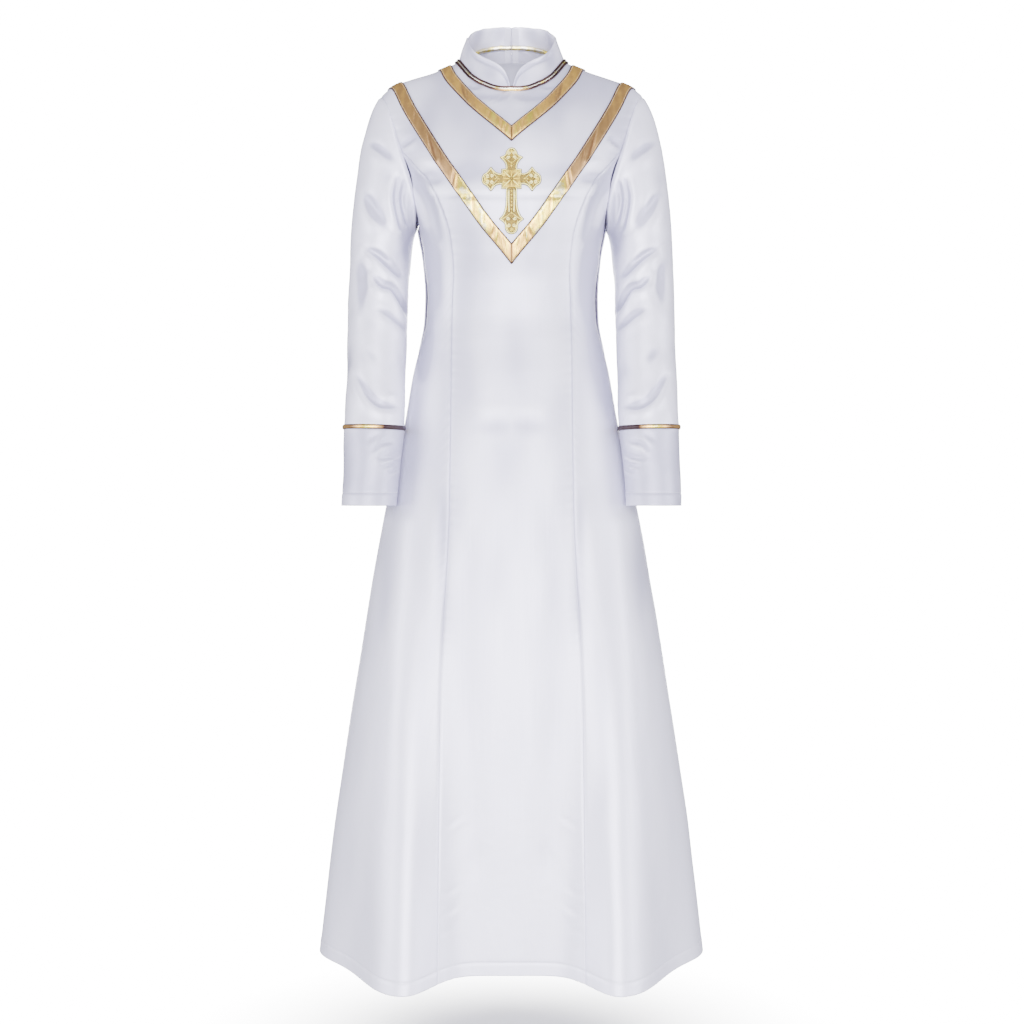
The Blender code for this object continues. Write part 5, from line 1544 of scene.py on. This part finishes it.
def backLine(offset, inset):
    # Up the back and up inside the collar, beside the centre line, so far in from the cloth.
    neckHigh = neckSpot(np.array(180.0))[2]
    lowest = neckHigh + body["collar"] - zipLook["length"]
    levels = np.linspace(lowest, neckHigh - zipLook["neckClear"], zipLook["rows"])
    x = offset + 0 * levels
    places, normals, _, _ = surfaceFrame(x, riseAt(x, levels, back), back)
    low = places - normals * inset
    base, upward, _, collarOut, _ = neckFrame(np.linspace(174, 180, 4))
    top = float(collarEdge.at(180)) - zipLook["topClear"]
    rise = np.linspace(zipLook["collarFrom"], top, zipLook["collarRows"])[:, None]
    high = base[-1] + upward[-1] * rise - collarOut[-1] * (inset + zipLook["collarInset"])
    high[:, 0] = offset
    return np.concatenate([low, high]), np.concatenate([-normals, -collarOut[-1] + 0 * high])


def buildTape(hand, half):
    node = f"zip_tape_{half}"
    points = np.stack([backLine(offset, zipLook["inset"])[0] for offset in zipLook["columns"]], axis=1)
    addPiece(f"{node}_weave", [(handed(points, hand), 0.5)], tapeWeave, [node],
                            zipLook["wall"])


def buildCoil():
    grids, pitch = [], zipLook["toothPitch"]
    way, outs = backLine(0.0, zipLook["coilInset"])
    run, size = lengths(way), np.array(zipLook["toothSize"])
    for hand in (-1, 1):
        first = zipLook["coilFrom"] + (hand > 0) * pitch / 2
        for place in np.arange(first, run[-1] - zipLook["coilShort"], pitch):
            bar = np.repeat(spotOn(way, run, place)[None], 4, axis=0)
            bar[:, 0] += np.array(zipLook["toothEnds"]) * hand
            out = unit(spotOn(outs, run, place))
            grids.append((tubeGrid(bar, out, size, size * zipLook["toothDepth"], 5), 0.5))
    addPiece("zip_coil", grids, tapeWeave)


for hand, half in halves:
    buildTape(hand, half)
buildCoil()
for name in ("zip_slider", "zip_pull"):
    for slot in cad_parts[name].material_slots:
        slot.material = zipEnamel
print("zip ready")


# Stitches round the hem and the cuffs

hemThread = {"pitch": 0.0034, "length": 0.0026, "thick": 0.00024, "lift": 0.00012}
hemStitches = []
for way, outs, hand in hemLines:
    hemStitches += stitchRow(mirrored(way, hand), mirrored(outs, hand), **hemThread)
addPiece("hem_stitches", hemStitches, whiteThread)
print("stitches ready")


# Cloth sheets: the cut of what shows, all round on a sleeve or cuff, without its turnings

print("cloth pieces ready")


# Stage and light

stage = {
    "floor": -1.46, "radius": 0.8, "paper": (0.95, 0.95, 0.96), "clearFrom": 0.10, "clearTo": 0.60,
    "skyGlow": 0.34, "skyTint": (0.90, 0.905, 1.0), "backdrop": 18.0,
}
lamps = {  # where it hangs, where it aims, its width and height in metres, its power and its tint
    "front": ((0.0, -3.9, -0.65), (0, 0, -0.66), (3.0, 2.0), 400, (0.955, 0.945, 1.0)),
    "back": ((0.0, 3.9, -0.50), (0, 0, -0.66), (3.0, 2.0), 345, (0.955, 0.945, 1.0)),
    "left": ((-3.3, -1.6, -0.5), (0, 0, -0.66), (1.6, 2.0), 150, (0.93, 0.93, 1.0)),
    "right": ((3.3, -1.6, -0.5), (0, 0, -0.66), (1.6, 2.0), 150, (0.93, 0.93, 1.0)),
    "neck": ((0.0, -1.3, 0.85), (0, 0.05, 0.02), (0.5, 0.4), 13, (0.96, 0.95, 1.0)),
}


def buildFloor():
    # A pale disc that fades into the white room.
    bm = bmesh.new()
    bmesh.ops.create_circle(bm, cap_ends=True, segments=96, radius=stage["radius"])
    mesh = bpy.data.meshes.new("floor")
    bm.to_mesh(mesh)
    bm.free()
    floor = bpy.data.objects.new("floor", mesh)
    floor.location = (0, 0, stage["floor"])
    bpy.context.scene.collection.objects.link(floor)
    paper = Finish("paper", Base_Color=(*stage["paper"], 1), Roughness=0.9)
    away = paper.node("ShaderNodeVectorMath", {"operation": "LENGTH"}, paper.place("Object"), out="Value")
    paper.give(paper.shader, Alpha=paper.fade(away, stage["clearFrom"], stage["clearTo"], 1.0, 0.0))
    mesh.materials.append(paper.material)


def addLamp(name, place, aim, size, power, tint):
    light = bpy.data.lights.new(name, "AREA")
    light.energy, light.color, light.shape = power, tint, "RECTANGLE"
    light.size, light.size_y = size
    holder = bpy.data.objects.new(name, light)
    holder.location = place
    holder.rotation_euler = (Vector(aim) - Vector(place)).to_track_quat("-Z", "Y").to_euler()
    bpy.context.scene.collection.objects.link(holder)


def buildRoom():
    # A white backdrop for the camera; its glow on the cloth is much softer.
    room = bpy.data.worlds.new("room")
    room.use_nodes = True
    nodes, link = room.node_tree.nodes, room.node_tree.links.new
    glow, backdrop = nodes["Background"], nodes.new("ShaderNodeBackground")
    glow.inputs["Color"].default_value = (*stage["skyTint"], 1)
    glow.inputs["Strength"].default_value = stage["skyGlow"]
    backdrop.inputs["Color"].default_value = (1, 1, 1, 1)
    backdrop.inputs["Strength"].default_value = stage["backdrop"]
    path, blend = nodes.new("ShaderNodeLightPath"), nodes.new("ShaderNodeMixShader")
    sources = path.outputs["Is Camera Ray"], glow.outputs[0], backdrop.outputs[0]
    for source, target in zip(sources, blend.inputs):
        link(source, target)
    link(blend.outputs[0], nodes["World Output"].inputs["Surface"])
    bpy.context.scene.world = room


buildFloor()
for name, settings in lamps.items():
    addLamp(name, *settings)
buildRoom()
print("stage ready")
